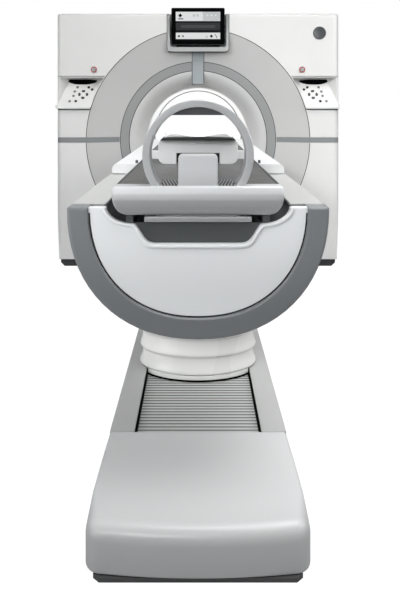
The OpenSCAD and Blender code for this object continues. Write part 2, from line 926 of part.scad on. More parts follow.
module slip_ring() {
    color("goldenrod") ring(slip_inner_r, slip_inner_r + slip_w, drum_back_y, drum_back_y + slip_t);
}

module xray_tube() {
    neck_r = tube_r * tube_neck_share;
    color("lightslategray") translate([0, drum_front_y, iso_z + focus_r]) rotate([90, 0, 0]) rotate_extrude()
        polygon([[0, 0], [tube_r + tube_flange, 0], [tube_r + tube_flange, tube_flange_t],
            [tube_r, tube_flange_t], [tube_r, tube_l], [neck_r, tube_l], [neck_r, tube_l + tube_neck_l],
            [0, tube_l + tube_neck_l]]);
}

module collimator() {
    top_r = focus_r - tube_r - tube_flange - fit;
    color("darkslategray") translate([0, 0, iso_z]) block([-collimator_w / 2, collimator_w / 2],
        [drum_front_y - collimator_l, drum_front_y], [drum_inner_r, top_r]);
}

module detector_array() {
    focus = [0, iso_z + focus_r];
    inner = focus_r + drum_inner_r;
    color("steelblue") extrude_y(drum_front_y - detector_l, drum_front_y) polygon(concat(
        arc(focus, inner, -90 - detector_arc, -90 + detector_arc, detector_steps),
        reversed(arc(focus, inner + detector_t, -90 - detector_arc, -90 + detector_arc, detector_steps))));
}

module hv_generator() {
    color("darkkhaki") translate([0, 0, iso_z]) block([-generator_x - generator_w, -generator_x],
        [drum_front_y - generator_l, drum_front_y], [-generator_h / 2, generator_h / 2]);
}

// Table base

function base_half(y) = y < nose_y
    ? base_w / 2 - (base_w - base_mid_w) / 2 * (y - base_front_y) / nose_l
    : base_mid_w / 2 - (base_mid_w - base_rear_w) / 2 * (y - nose_y) / (base_rear_y - nose_y);

function base_plan(inset, places) = both_sides([for (y = places) [base_half(y) - inset, y]]);

module base_plinth() {
    tip_y = base_front_y + plinth_set + nose_bow;
    color("black") difference() {
        extrude_z(0, plinth_h) polygon(concat(
            both_sides([[base_half(base_front_y) - plinth_inset - plinth_bevel, tip_y - nose_bow]]),
            reversed(base_plan(plinth_inset, [tip_y, nose_y, base_rear_y]))));
        for (x = [-base_anchor_x, base_anchor_x], y = base_anchor_rows)
            translate([x, y, -overrun]) cylinder(h = plinth_h + 2 * overrun, r = base_anchor_r);
    }
}

module base_rails() {
    color("silver") for (x = [-rail_x, rail_x]) block([x - rail_w / 2, x + rail_w / 2],
        [nose_y + rail_end, slot_rear_y + 2 * rail_end], [plinth_h, plinth_h + rail_h]);
}

module base_cover() {
    color("gainsboro") difference() {
        extrude_z(plinth_h, base_h) polygon(base_plan(0, [nose_y + seam / 2, base_rear_y]));
        extrude_z(plinth_h - overrun, base_h - base_wall)
            polygon(base_plan(base_wall, [nose_y - overrun, base_rear_y - base_wall]));
        block([-slot_w / 2, slot_w / 2], [nose_y - overrun, slot_rear_y], [plinth_h, base_h + overrun]);
    }
}

// Nose outlines, inset for its hollow; the front is bowed forward in plan
function nose_plan(inset) = let (side_x = base_w / 2 - nose_corner_r) both_sides(concat(
    [for (i = [1:nose_bow_steps - 1]) let (t = i / nose_bow_steps)
        [side_x * t, base_front_y + inset + nose_bow * t * t]],
    arc([side_x, base_front_y + nose_bow + nose_corner_r], nose_corner_r - inset, -90, 0),
    [[base_half(nose_y) - inset, nose_y + (inset > 0 ? overrun : 0)]]));

function nose_side(inset) = concat(
    [[nose_y + overrun, base_h - inset]],
    arc([base_front_y + nose_round, base_h - nose_fall - nose_round], nose_round - inset, 90, 180),
    [[base_front_y + inset, plinth_h - inset], [nose_y + overrun, plinth_h - inset]]);

function nose_front(inset) = both_sides(concat(
    arc([base_w / 2 - nose_low_r, plinth_h + nose_low_r - inset], nose_low_r - inset, 270, 360),
    [[base_w / 2 - inset, base_h]]));

module nose_form(inset) {
    intersection() {
        extrude_z(plinth_h - inset, base_h) polygon(nose_plan(inset));
        extrude_x(-base_w / 2, base_w / 2) polygon(nose_side(inset));
        extrude_y(base_front_y, nose_y + overrun) polygon(nose_front(inset));
    }
}

module base_nose() {
    color("gainsboro") difference() {
        nose_form(0);
        nose_form(base_wall);
    }
}

// Slatted way cover: a side outline of flat lands and V grooves
module slat_cover() {
    count = floor((slat_rear_y - slat_front_y) / slat_pitch);
    land = slat_pitch * slat_land_share;
    half = slot_w / 2 - slat_side_gap;
    end_y = slat_front_y + count * slat_pitch;
    color("darkgray") difference() {
        extrude_x(-half, half) polygon(concat(
            [for (i = [0:count - 1], step = [[0, slat_groove], [slat_pitch - land, 0], [slat_pitch, 0]])
                [slat_front_y + i * slat_pitch + step[0], slat_z - step[1]]],
            [[end_y, slat_z - slat_t], [slat_front_y, slat_z - slat_t]]));
        translate([0, column_y, 0]) extrude_z(carriage_top - overrun, base_h) circle(lift_r + neck_wall + fit);
    }
}

// Oval of the column, from four tangent arcs, grown or shrunk by a constant width
end_c = column_w / 2 - oval_end_r;
flat_c = (end_c * end_c - pow(column_d / 2 - oval_end_r, 2)) / (2 * (column_d / 2 - oval_end_r));
flat_r = column_d / 2 + flat_c;
flat_angle = atan2(end_c, flat_c);

// The end point of each arc is left to the arc that follows it
function oval_arc(c, r, a0, a1) = [for (i = [0:oval_steps - 1])
    let (a = a0 + (a1 - a0) * i / oval_steps) c + r * [cos(a), sin(a)]];

module oval(grow) {
    polygon(concat(
        oval_arc([end_c, 0], oval_end_r + grow, flat_angle - 90, 90 - flat_angle),
        oval_arc([0, -flat_c], flat_r + grow, 90 - flat_angle, 90 + flat_angle),
        oval_arc([-end_c, 0], oval_end_r + grow, 90 + flat_angle, 270 - flat_angle),
        oval_arc([0, flat_c], flat_r + grow, 270 - flat_angle, 270 + flat_angle)));
}

module pedestal_carriage() {
    color("dimgray") translate([0, column_y, 0]) difference() {
        union() {
            block([-carriage_w / 2, carriage_w / 2], [-carriage_l / 2, carriage_l / 2],
                [carriage_bottom, carriage_top]);
            extrude_z(carriage_top, flange_top) circle(lift_r + neck_wall);
            extrude_z(base_h + flange_gap, flange_top) oval(-flange_inset);
        }
        translate([0, 0, lift_bottom - base_wall])
            cylinder(h = flange_top, r = lift_r + run_gap);
    }
}

module lift_tube(outer, wall, z0, length) {
    translate([0, column_y, z0]) difference() {
        cylinder(h = length, r = outer);
        translate([0, 0, -overrun]) cylinder(h = length + 2 * overrun, r = outer - wall);
    }
}

module lift_outer_tube() { color("silver") lift_tube(lift_r, lift_wall - run_gap, lift_bottom, stage_l); }
module lift_middle_tube() {
    color("lightgray") lift_tube(lift_r - lift_wall, lift_wall - run_gap, middle_bottom, stage_l);
}

module lift_inner_tube() {
    color("silver") union() {
        lift_tube(lift_r - 2 * lift_wall, lift_wall, inner_bottom, saddle_z - inner_bottom);
        difference() {
            translate([0, column_y, 0]) extrude_z(saddle_z, deck_z) oval(-saddle_inset);
            extrude_y(column_y - column_d, column_y + column_d) polygon(u_curve(0));
            block([-table_w, table_w], [column_y - column_d, column_y + column_d],
                [deck_z - fit, deck_z + overrun]);
        }
    }
}

// Bellows wall: each ring flares from its waist to a rounded bead at its foot
function bellows_wall_points(r) = let (
    top = saddle_z - run_gap, ring_h = (top - flange_top) / bellows_rings) concat(
    [for (i = [0:bellows_rings - 1], share = bellows_shares)
        [r - share[1] * bellows_depth, flange_top + (i + share[0]) * ring_h]],
    [[r - bellows_depth, top]]);

module bellows_sector(r, angle, sweep) {
    rotate([0, 0, angle - sweep / 2]) rotate_extrude(angle = sweep) polygon(concat(
        bellows_wall_points(r), reversed(bellows_wall_points(r - bellows_wall))));
}

module column_bellows() {
    color("white") translate([0, column_y, 0]) union() {
        for (side = [-1, 1]) {
            translate([0, -side * flat_c, 0]) bellows_sector(flat_r, side * 90, 2 * flat_angle);
            translate([side * end_c, 0, 0]) bellows_sector(oval_end_r, 90 - side * 90, 180 - 2 * flat_angle);
        }
    }
}

// Table body

// Underside of the body, down the right half and up the left half, with both half-axes shortened by the inset
function u_curve(inset) = [for (i = [0:2 * u_steps]) let (a = -90 * i / u_steps, c = cos(a), s = sin(a))
    [(table_w / 2 - inset) * sign(c) * pow(abs(c), 2 / u_power),
        deck_z - (body_h - inset) * pow(abs(s), 2 / u_power)]];

// Notch for the cradle in the end panel, with its width and depth lengthened by grow
function notch(grow) = let (
    kx = 1 + grow / notch_w, kz = 1 + grow / notch_d,
    half = concat(
        ellipse_arc([notch_step_x, 0], notch_w - notch_step_x, notch_step_d, 0, -90, notch_steps),
        [for (share = notch_foot_shares) [notch_w * share[0], -notch_d * share[1]]]))
    [for (p = concat(half, flipped(half))) [p[0] * kx, deck_z + p[1] * kz]];

module table_shell() {
    deck_x = notch_w + pan_gap + pan_t + fit;
    front = table_front_y + rim_l;
    color("silver") difference() {
        extrude_y(front, table_rear_y) polygon(u_curve(0));
        difference() {
            extrude_y(front - overrun, table_rear_y + overrun) polygon(u_curve(shell_t));
            block([-table_w, table_w], [front - 2 * overrun, table_rear_y + 2 * overrun],
                [deck_z - shell_t, deck_z + overrun]);
        }
        block([-deck_x, deck_x], [front - overrun, table_rear_y + overrun],
            [deck_z - 2 * shell_t, deck_z + overrun]);
    }
}

module table_rim() {
    color("slategray") extrude_y(table_front_y, table_front_y + rim_l)
        polygon(concat(u_curve(0), reversed(u_curve(rim_w))));
}

module end_panel() {
    color("white") {
        extrude_y(end_panel_y, end_panel_y + end_panel_t) difference() {
            polygon(u_curve(rim_w + fit));
            polygon(concat([[notch_w + overrun, deck_z + overrun]], notch(0),
                [[-notch_w - overrun, deck_z + overrun]]));
        }
        extrude_y(table_front_y, end_panel_y)
            polygon(concat(notch(0), reversed(notch(notch_lip))));
    }
}

module table_pan() {
    pan_front = end_panel_y + end_panel_t;
    rail_z = cradle_bottom - run_gap;
    plate_top = cradle_bottom - tongue_web - tongue_t - pan_plate_gap;
    color("dimgray") union() {
        extrude_y(pan_front, table_rear_y) {
            polygon(concat(notch(pan_gap), reversed(notch(pan_gap + pan_t))));
            for (side = [-1, 1]) translate([side * (pan_rail_x + pan_rail_w / 2), 0])
                polygon(both_sides([for (z = [deck_z - notch_step_d - pan_gap, rail_z]) [pan_rail_w / 2, z]]));
        }
        intersection() {
            extrude_y(pan_front, pan_front + pan_t) polygon(notch(pan_gap + pan_t / 2));
            block([-notch_w, notch_w], [pan_front - overrun, table_rear_y], [deck_z - 2 * notch_d, plate_top]);
        }
    }
}

module side_shoulders() {
    top = deck_z + shoulder_h;
    color("whitesmoke") for (side = [-1, 1]) on_side(side) {
        extrude_y(shoulder_y, table_rear_y) polygon(concat(
            [[shoulder_x, deck_z + slit_h], [shoulder_out, deck_z + slit_h]],
            arc([shoulder_out - shoulder_r, top - shoulder_r], shoulder_r, 0, 90), [[shoulder_x, top]]));
        block([shoulder_x + 2 * slit_d, shoulder_out - slit_d], [shoulder_y + slit_d, table_rear_y],
            [deck_z, deck_z + slit_h]);
    }
}

// Cradle

function cradle_section(inset) = both_sides(concat(
    ellipse_arc([cradle_w / 2 - cap_low_w, cradle_bottom + cap_low_h],
        cap_low_w - inset, cap_low_h - inset, 270, 360),
    arc([cradle_w / 2 - cap_top_r, cradle_z - cap_top_r], cap_top_r - inset, 0, 90)));

module cradle_top() {
    color("darkslategray") extrude_y(cradle_front_y + cap_l, -cradle_rear)
        polygon(cradle_section(cradle_inset));
}

module cradle_end() {
    bulge_z = cradle_z - cradle_t * 0.45;
    back = cradle_front_y + cap_l;
    tongue_top = cradle_bottom - tongue_web;
    color("silver") union() {
        intersection() {
            extrude_y(cradle_front_y, back) polygon(cradle_section(0));
            extrude_x(-cradle_w, cradle_w) polygon(concat(
                arc([cradle_front_y + cap_bulge_r, bulge_z], cap_bulge_r, 135, 225),
                [[back, cradle_bottom - overrun], [back, cradle_z + overrun]]));
        }
        extrude_y(cradle_post_y, cradle_post_y + post_d) polygon(both_sides(concat(
            [[post_w / 2, cradle_z - cap_top_r]],
            arc([post_w / 2 - post_r, cradle_z + post_h - post_r], post_r, 0, 90))));
        block([-tongue_w / 2, tongue_w / 2], [cradle_front_y + tongue_set, cradle_front_y + tongue_l],
            [tongue_top - tongue_t, tongue_top]);
        block([-tongue_w / 2 + post_d, tongue_w / 2 - post_d], [cradle_front_y + 2 * tongue_set, back],
            [tongue_top, cradle_bottom + tongue_web]);
    }
}

module hoop_handle() {
    color("darkgray") difference() {
        translate([0, hoop_front_y, hoop_z]) rotate([-90, 0, 0]) difference() {
            cylinder(h = hoop_d, r = hoop_r);
            translate([0, 0, -overrun]) cylinder(h = hoop_d + 2 * overrun, r = hoop_r - hoop_band);
        }
        block([-hoop_r, hoop_r], [hoop_front_y - overrun, hoop_front_y + hoop_d + overrun],
            [hoop_z - hoop_r - overrun, cradle_z]);
    }
}

module hoop_grip() {
    color("dimgray") intersection() {
        translate([0, hoop_front_y + grip_inset, hoop_z]) rotate([-90, 0, 0])
            cylinder(h = hoop_d - 2 * grip_inset, r = hoop_r - hoop_band - grip_gap);
        block([-hoop_r, hoop_r], [hoop_front_y, hoop_front_y + hoop_d],
            [hoop_z + grip_chord, hoop_z + hoop_r]);
    }
}

module head_mount() {
    top = cradle_deck_z + head_h;
    color("whitesmoke") union() {
        extrude_y(head_y - head_d / 2, head_y + head_d / 2) polygon(both_sides(concat(
            [[head_notch_w / 2, cradle_deck_z + head_notch_h], [head_notch_w / 2, cradle_deck_z]],
            arc([head_w / 2 - head_low_r, cradle_deck_z + head_low_r], head_low_r, 270, 360),
            [[head_w / 2, top], [tray_w / 2, top], [tray_w / 2, top + strip_t]])));
        for (side = [-1, 1]) on_side(side) block([head_w / 2 - overrun, head_w / 2 + ear_w],
            [head_y - head_d / 4, head_y + head_d / 4], [cradle_deck_z + ear_z, cradle_deck_z + ear_z + ear_h]);
    }
}

module head_tray() {
    z0 = cradle_deck_z + head_h + strip_t;
    front = head_y - head_d / 2 - tray_front;
    color("dimgray") extrude_y(front, front + tray_l) polygon(both_sides([
        [tray_w / 2, z0], [tray_w / 2 - tray_slant, z0 + tray_t]]));
}

// Pad: a trough between two raised sides
function pad_rise(x) = let (t = x / pad_peak_x)
    t < 1 ? pad_dip_h + (pad_peak_h - pad_dip_h) * pow(sin(90 * t), 2)
          : pad_edge_h + (pad_peak_h - pad_edge_h) * cos(90 * (x - pad_peak_x) / (pad_w / 2 - pad_peak_x));

module head_pad() {
    z0 = cradle_deck_z + head_h + strip_t + tray_t;
    front = head_y - head_d / 2 - tray_front;
    color("white") extrude_y(front + pad_end_gap, front + tray_l - pad_end_gap) polygon(both_sides(concat(
        [[pad_w / 2, z0]],
        [for (i = [0:pad_steps - 1]) let (x = pad_w / 2 * (1 - i / pad_steps)) [x, z0 + pad_rise(x)]],
        [[0, z0 + pad_dip_h]])));
}

gantry_frame();
front_ring_cover();
front_upper_left_panel();
front_upper_right_panel();
front_lower_left_panel();
front_lower_right_panel();
left_side_cover();
right_side_cover();
top_cover();
rear_cover();
front_bell();
bore_window();
rear_bell();
ring_trim();
stripe_trims();
light_bar();
display_bay();
display_housing();
left_control_panel();
right_control_panel();
left_estop();
right_estop();
left_key_up();
left_key_down();
left_key_in();
left_key_out();
right_key_up();
right_key_down();
right_key_in();
right_key_out();
main_bearing();
drive_stator();
rotor_drum();
xray_tube();
collimator();
detector_array();
hv_generator();
slip_ring();
base_plinth();
base_rails();
base_cover();
base_nose();
pedestal_carriage();
slat_cover();
lift_outer_tube();
column_bellows();
lift_middle_tube();
lift_inner_tube();
table_shell();
table_rim();
end_panel();
table_pan();
side_shoulders();
cradle_top();
cradle_end();
hoop_handle();
hoop_grip();
head_mount();
head_tray();
head_pad();
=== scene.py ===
import math

import bpy
from mathutils import Matrix, Vector


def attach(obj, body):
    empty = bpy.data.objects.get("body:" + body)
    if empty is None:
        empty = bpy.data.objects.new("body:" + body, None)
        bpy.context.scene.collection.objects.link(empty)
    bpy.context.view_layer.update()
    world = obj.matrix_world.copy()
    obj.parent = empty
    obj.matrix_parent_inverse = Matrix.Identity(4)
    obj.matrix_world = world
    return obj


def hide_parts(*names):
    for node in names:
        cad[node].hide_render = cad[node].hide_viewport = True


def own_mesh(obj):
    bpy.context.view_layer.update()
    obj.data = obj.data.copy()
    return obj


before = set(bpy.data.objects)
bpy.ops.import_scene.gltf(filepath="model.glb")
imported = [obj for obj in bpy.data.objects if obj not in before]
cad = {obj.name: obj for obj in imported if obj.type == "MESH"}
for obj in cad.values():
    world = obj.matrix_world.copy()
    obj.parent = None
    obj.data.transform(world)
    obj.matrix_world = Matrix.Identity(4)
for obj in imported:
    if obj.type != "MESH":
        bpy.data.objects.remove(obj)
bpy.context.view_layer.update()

scene = bpy.context.scene
scene.view_settings.view_transform = "Standard"

# Camera: level, at the foot of the table, with the horizon high in the frame

eye = bpy.data.cameras.new("table_foot_view")
eye.lens = 31.97
eye.sensor_width = 36
eye.shift_x = 0.0033
eye.shift_y = -0.323
eye.clip_end = 60
camera = bpy.data.objects.new("table_foot_view", eye)
camera.location = (0, -4.543, 1.224)
camera.rotation_euler = (math.radians(90), 0, 0)
scene.collection.objects.link(camera)
scene.camera = camera


# Shader node groups: effects that several finishes share

def effect_group(name, inputs, outputs):
    """New node group, its input node and its output node. Sockets are given as (label, kind)."""
    tree = bpy.data.node_groups.new(name, "ShaderNodeTree")
    for way, sockets in (("INPUT", inputs), ("OUTPUT", outputs)):
        for label, kind in sockets:
            tree.interface.new_socket(label, in_out=way, socket_type=kind)
    return tree, tree.nodes.new("NodeGroupInput"), tree.nodes.new("NodeGroupOutput")


def add(tree, kind, links=None, **settings):
    """New node. Settings are node properties; links give its inputs as sockets or plain values."""
    node = tree.nodes.new(kind)
    for key, value in settings.items():
        setattr(node, key, value)
    for key, value in (links or {}).items():
        socket = node.inputs[key]
        if isinstance(value, bpy.types.NodeSocket):
            tree.links.new(value, socket)
        else:
            socket.default_value = value
    return node


def math_node(tree, operation, first, second=0.5, clamp=False):
    """Output socket of a new math node."""
    return add(tree, "ShaderNodeMath", {0: first, 1: second}, operation=operation, use_clamp=clamp).outputs[0]


FLOAT, VECTOR = "NodeSocketFloat", "NodeSocketVector"

# Moulded grain: a slow drift over the piece and a fine orange-peel texture
moulded_grain, group_in, group_out = effect_group(
    "moulded_grain", [("Vector", VECTOR), ("Peel Scale", FLOAT)], [("Drift", FLOAT), ("Peel", FLOAT)])
slow = add(moulded_grain, "ShaderNodeTexNoise",
           {"Vector": group_in.outputs["Vector"], "Scale": 3.0, "Detail": 2.0})
peel = add(moulded_grain, "ShaderNodeTexNoise",
           {"Vector": group_in.outputs["Vector"], "Scale": group_in.outputs["Peel Scale"], "Detail": 1.0})
moulded_grain.links.new(slow.outputs["Fac"], group_out.inputs["Drift"])
moulded_grain.links.new(peel.outputs["Fac"], group_out.inputs["Peel"])

# Rounded edge: a softened normal, and a mask of the edges, where the moulded finishes paint a highlight
EDGE_GAIN = 4.0
rounded_edge, group_in, group_out = effect_group(
    "rounded_edge", [("Radius", FLOAT)], [("Normal", VECTOR), ("Edge", FLOAT)])
soft = add(rounded_edge, "ShaderNodeBevel", {"Radius": group_in.outputs["Radius"]}, samples=4)
flat = add(rounded_edge, "ShaderNodeNewGeometry")
facing = add(rounded_edge, "ShaderNodeVectorMath", {0: soft.outputs[0], 1: flat.outputs["Normal"]},
             operation="DOT_PRODUCT")
bend = math_node(rounded_edge, "SUBTRACT", 1.0, facing.outputs["Value"])
edge = math_node(rounded_edge, "MULTIPLY", bend, EDGE_GAIN, clamp=True)
rounded_edge.links.new(soft.outputs[0], group_out.inputs["Normal"])
rounded_edge.links.new(edge, group_out.inputs["Edge"])

# Brush lines: fine scratches, drawn out along the axis with the smallest stretch
brush_lines, group_in, group_out = effect_group(
    "brush_lines", [("Vector", VECTOR), ("Stretch", VECTOR)], [("Lines", FLOAT)])
drawn = add(brush_lines, "ShaderNodeVectorMath",
            {0: group_in.outputs["Vector"], 1: group_in.outputs["Stretch"]}, operation="MULTIPLY")
lines = add(brush_lines, "ShaderNodeTexNoise", {"Vector": drawn.outputs[0], "Scale": 1.0, "Detail": 3.0})
brush_lines.links.new(lines.outputs["Fac"], group_out.inputs["Lines"])

# Twill weave: tows that pass over two and under two, so the pattern repeats after four
TWILL_REPEAT, TWILL_OVER = 4.0, 1.5
twill_weave, group_in, group_out = effect_group(
    "twill_weave", [("Vector", VECTOR), ("Tows", FLOAT)], [("Over", FLOAT), ("Crown", FLOAT)])
scaled = add(twill_weave, "ShaderNodeVectorMath", {0: group_in.outputs["Vector"]}, operation="SCALE")
twill_weave.links.new(group_in.outputs["Tows"], scaled.inputs["Scale"])
axes = add(twill_weave, "ShaderNodeSeparateXYZ", {0: scaled.outputs[0]})
across = math_node(twill_weave, "FLOOR", axes.outputs["X"])
along = math_node(twill_weave, "FLOOR", axes.outputs["Y"])
step = math_node(twill_weave, "FLOORED_MODULO", math_node(twill_weave, "ADD", across, along), TWILL_REPEAT)
over = math_node(twill_weave, "LESS_THAN", step, TWILL_OVER)
crown_x = math_node(twill_weave, "PINGPONG", axes.outputs["X"], 0.5)
crown_y = math_node(twill_weave, "PINGPONG", axes.outputs["Y"], 0.5)
crown = math_node(twill_weave, "ADD", crown_x, crown_y)
twill_weave.links.new(over, group_out.inputs["Over"])
twill_weave.links.new(crown, group_out.inputs["Crown"])


# Finishes

PEEL_DEPTH, BRUSH_DEPTH, WEAVE_DEPTH, RIB_DEPTH = 0.0004, 0.0003, 0.0003, 0.001
BRUSH_STRETCH, SLAT_STRETCH = (4.0, 500.0, 500.0), (3.0, 400.0, 400.0)


def new_finish(name):
    """New material with its tree, its shader and its object coordinates."""
    finish = bpy.data.materials.new(name)
    finish.use_nodes = True
    tree = finish.node_tree
    tree.nodes.clear()
    shader = add(tree, "ShaderNodeBsdfPrincipled")
    out = add(tree, "ShaderNodeOutputMaterial")
    tree.links.new(shader.outputs[0], out.inputs["Surface"])
    place = add(tree, "ShaderNodeTexCoord").outputs["Object"]
    return finish, tree, shader, place


def use_group(tree, group, **links):
    """Node of an effect group. An underscore in a link's name stands for a space."""
    named = {key.replace("_", " "): value for key, value in links.items()}
    return add(tree, "ShaderNodeGroup", named, node_tree=group)


# Numbers of the colour sockets on a mix node, where several sockets share one name
MIX_MASK, MIX_LOW, MIX_HIGH, MIX_COLOUR = 0, 6, 7, 2


def blend_colour(tree, mask, low, high):
    """Colour between low and high by a mask. Both ends are sockets or plain colours."""
    low, high = (end if isinstance(end, bpy.types.NodeSocket) else (*end, 1) for end in (low, high))
    links = {MIX_MASK: mask, MIX_LOW: low, MIX_HIGH: high}
    return add(tree, "ShaderNodeMix", links, data_type="RGBA").outputs[MIX_COLOUR]


def spread(tree, mask, low, high):
    """Value between low and high by a mask."""
    return add(tree, "ShaderNodeMapRange", {"Value": mask, "To Min": low, "To Max": high}).outputs[0]


def tint(colour, factor):
    return tuple(min(1.0, channel * factor) for channel in colour)


def moulded(name, colour, rough=0.38, coat=0.0, peel=700.0, bump=0.05, edge=1.06, radius=0.003, drift=0.035,
            metal=0.0, painted_shade=None, gloss=0.5):
    """Moulded or painted surface: slow colour drift, orange peel, edges lightened a little as a painted
    highlight.

    The painted shade is (axis, low, high, tone): along that axis the colour is darkened as painted shade,
    down to that tone at the low end."""
    finish, tree, shader, place = new_finish(name)
    grain = use_group(tree, moulded_grain, Vector=place, Peel_Scale=peel)
    rim = use_group(tree, rounded_edge, Radius=radius)
    body = blend_colour(tree, grain.outputs["Drift"], tint(colour, 1 - drift), tint(colour, 1 + drift))
    # Painted shade: darker towards the low end of one axis
    if painted_shade:
        axis, low, high, tone = painted_shade
        level = add(tree, "ShaderNodeSeparateXYZ", {0: place}).outputs[axis]
        rise = add(tree, "ShaderNodeMapRange", {"Value": level, "From Min": low, "From Max": high},
                   interpolation_type="SMOOTHSTEP")
        body = blend_colour(tree, rise.outputs[0], tint(colour, tone), body)
    # Painted highlight: the rounded edges are made lighter
    edge_highlight = blend_colour(tree, rim.outputs["Edge"], body, tint(colour, edge))
    tree.links.new(edge_highlight, shader.inputs["Base Color"])
    sheen = spread(tree, grain.outputs["Drift"], rough - 0.05, rough + 0.06)
    tree.links.new(sheen, shader.inputs["Roughness"])
    relief = add(tree, "ShaderNodeBump", {"Strength": bump, "Distance": PEEL_DEPTH,
                                          "Height": grain.outputs["Peel"], "Normal": rim.outputs["Normal"]})
    tree.links.new(relief.outputs[0], shader.inputs["Normal"])
    shader.inputs["Coat Weight"].default_value = coat
    shader.inputs["Coat Roughness"].default_value = 0.15
    shader.inputs["Metallic"].default_value = metal
    shader.inputs["Specular IOR Level"].default_value = gloss
    return finish


def brushed(name, colour, rough, metal=1.0):
    """Metal or metallic paint with fine drawn lines."""
    finish, tree, shader, place = new_finish(name)
    brush = use_group(tree, brush_lines, Vector=place, Stretch=BRUSH_STRETCH)
    rim = use_group(tree, rounded_edge, Radius=0.003)
    lines = brush.outputs["Lines"]
    tree.links.new(blend_colour(tree, lines, tint(colour, 0.92), tint(colour, 1.08)),
                   shader.inputs["Base Color"])
    tree.links.new(spread(tree, lines, rough - 0.08, rough + 0.1), shader.inputs["Roughness"])
    relief = add(tree, "ShaderNodeBump", {"Strength": 0.06, "Distance": BRUSH_DEPTH, "Height": lines,
                                          "Normal": rim.outputs["Normal"]})
    tree.links.new(relief.outputs[0], shader.inputs["Normal"])
    shader.inputs["Metallic"].default_value = metal
    return finish


def woven(name, colour, rough):
    """Carbon cloth under lacquer: twill tows, mottled by the resin."""
    finish, tree, shader, place = new_finish(name)
    weave = use_group(tree, twill_weave, Vector=place, Tows=150.0)
    grain = use_group(tree, moulded_grain, Vector=place, Peel_Scale=26.0)
    rim = use_group(tree, rounded_edge, Radius=0.002)
    tows_tone = blend_colour(tree, weave.outputs["Over"], tint(colour, 0.82), tint(colour, 1.16))
    mottle = add(tree, "ShaderNodeMapRange",
                 {"Value": grain.outputs["Peel"], "From Min": 0.35, "From Max": 0.7})
    mottled = blend_colour(tree, mottle.outputs[0], tows_tone, tint(colour, 1.5))
    tree.links.new(mottled, shader.inputs["Base Color"])
    sheen = spread(tree, grain.outputs["Peel"], rough - 0.1, rough + 0.15)
    tree.links.new(sheen, shader.inputs["Roughness"])
    relief = add(tree, "ShaderNodeBump", {"Strength": 0.15, "Distance": PEEL_DEPTH,
                                          "Height": weave.outputs["Crown"], "Normal": rim.outputs["Normal"]})
    tree.links.new(relief.outputs[0], shader.inputs["Normal"])
    shader.inputs["Coat Weight"].default_value = 0.25
    shader.inputs["Coat Roughness"].default_value = 0.25
    return finish


def hatched(name, dark, pale, pitch, slant):
    """Rubber with raised ribs along Y, turned by a small slant."""
    finish, tree, shader, place = new_finish(name)
    turned = add(tree, "ShaderNodeMapping", {"Vector": place, "Rotation": (0, 0, math.radians(slant))})
    ribs = add(tree, "ShaderNodeTexWave", {"Vector": turned.outputs[0], "Scale": pitch, "Distortion": 0.0},
               wave_type="BANDS", bands_direction="X")
    tree.links.new(blend_colour(tree, ribs.outputs["Fac"], dark, pale), shader.inputs["Base Color"])
    tree.links.new(spread(tree, ribs.outputs["Fac"], 0.75, 0.45), shader.inputs["Roughness"])
    relief = add(tree, "ShaderNodeBump",
                 {"Strength": 0.5, "Distance": RIB_DEPTH, "Height": ribs.outputs["Fac"]})
    tree.links.new(relief.outputs[0], shader.inputs["Normal"])
    return finish


def slatted(name, land, groove_shade, first_y, pitch, groove_share):
    """Anodised slats along Y: pale lands, each painted a little lighter next to its fold, with painted shade
    in the dark folds between them.
    """
    finish, tree, shader, place = new_finish(name)
    brush = use_group(tree, brush_lines, Vector=place, Stretch=SLAT_STRETCH)
    axes = add(tree, "ShaderNodeSeparateXYZ", {0: place})
    count = math_node(tree, "DIVIDE", math_node(tree, "SUBTRACT", axes.outputs["Y"], first_y), pitch)
    across = math_node(tree, "FRACT", count)
    # Painted shade in the folds, and a painted highlight fading across each land
    fold_shade = math_node(tree, "LESS_THAN", across, groove_share)
    body = blend_colour(tree, brush.outputs["Lines"], tint(land, 0.92), tint(land, 1.08))
    shaded = blend_colour(tree, across, tint(land, 1.1), body)
    tree.links.new(blend_colour(tree, fold_shade, shaded, groove_shade), shader.inputs["Base Color"])
    tree.links.new(spread(tree, brush.outputs["Lines"], 0.36, 0.5), shader.inputs["Roughness"])
    shader.inputs["Metallic"].default_value = 0.2
    return finish


def cloth_skin(name, colour):
    """Wipe-clean coated fabric: a tight weave under a soft sheen."""
    finish, tree, shader, place = new_finish(name)
    weave = use_group(tree, twill_weave, Vector=place, Tows=900.0)
    grain = use_group(tree, moulded_grain, Vector=place, Peel_Scale=90.0)
    tone = blend_colour(tree, grain.outputs["Peel"], tint(colour, 0.95), tint(colour, 1.04))
    woven_tone = blend_colour(tree, weave.outputs["Over"], tone, tint(colour, 0.97))
    tree.links.new(woven_tone, shader.inputs["Base Color"])
    tree.links.new(spread(tree, grain.outputs["Drift"], 0.55, 0.7), shader.inputs["Roughness"])
    relief = add(tree, "ShaderNodeBump",
                 {"Strength": 0.2, "Distance": WEAVE_DEPTH, "Height": weave.outputs["Crown"]})
    tree.links.new(relief.outputs[0], shader.inputs["Normal"])
    shader.inputs["Sheen Weight"].default_value = 0.2
    return finish


def lit(name, colour, glow):
    """Display field: a faint pixel grid over a glowing colour."""
    finish, tree, shader, place = new_finish(name)
    weave = use_group(tree, twill_weave, Vector=place, Tows=1400.0)
    shown = blend_colour(tree, weave.outputs["Crown"], tint(colour, 0.92), colour)
    tree.links.new(shown, shader.inputs["Emission Color"])
    tree.links.new(blend_colour(tree, weave.outputs["Over"], tint(colour, 0.08), tint(colour, 0.1)),
                   shader.inputs["Base Color"])
    shader.inputs["Emission Strength"].default_value = glow
    shader.inputs["Roughness"].default_value = 0.12
    return finish


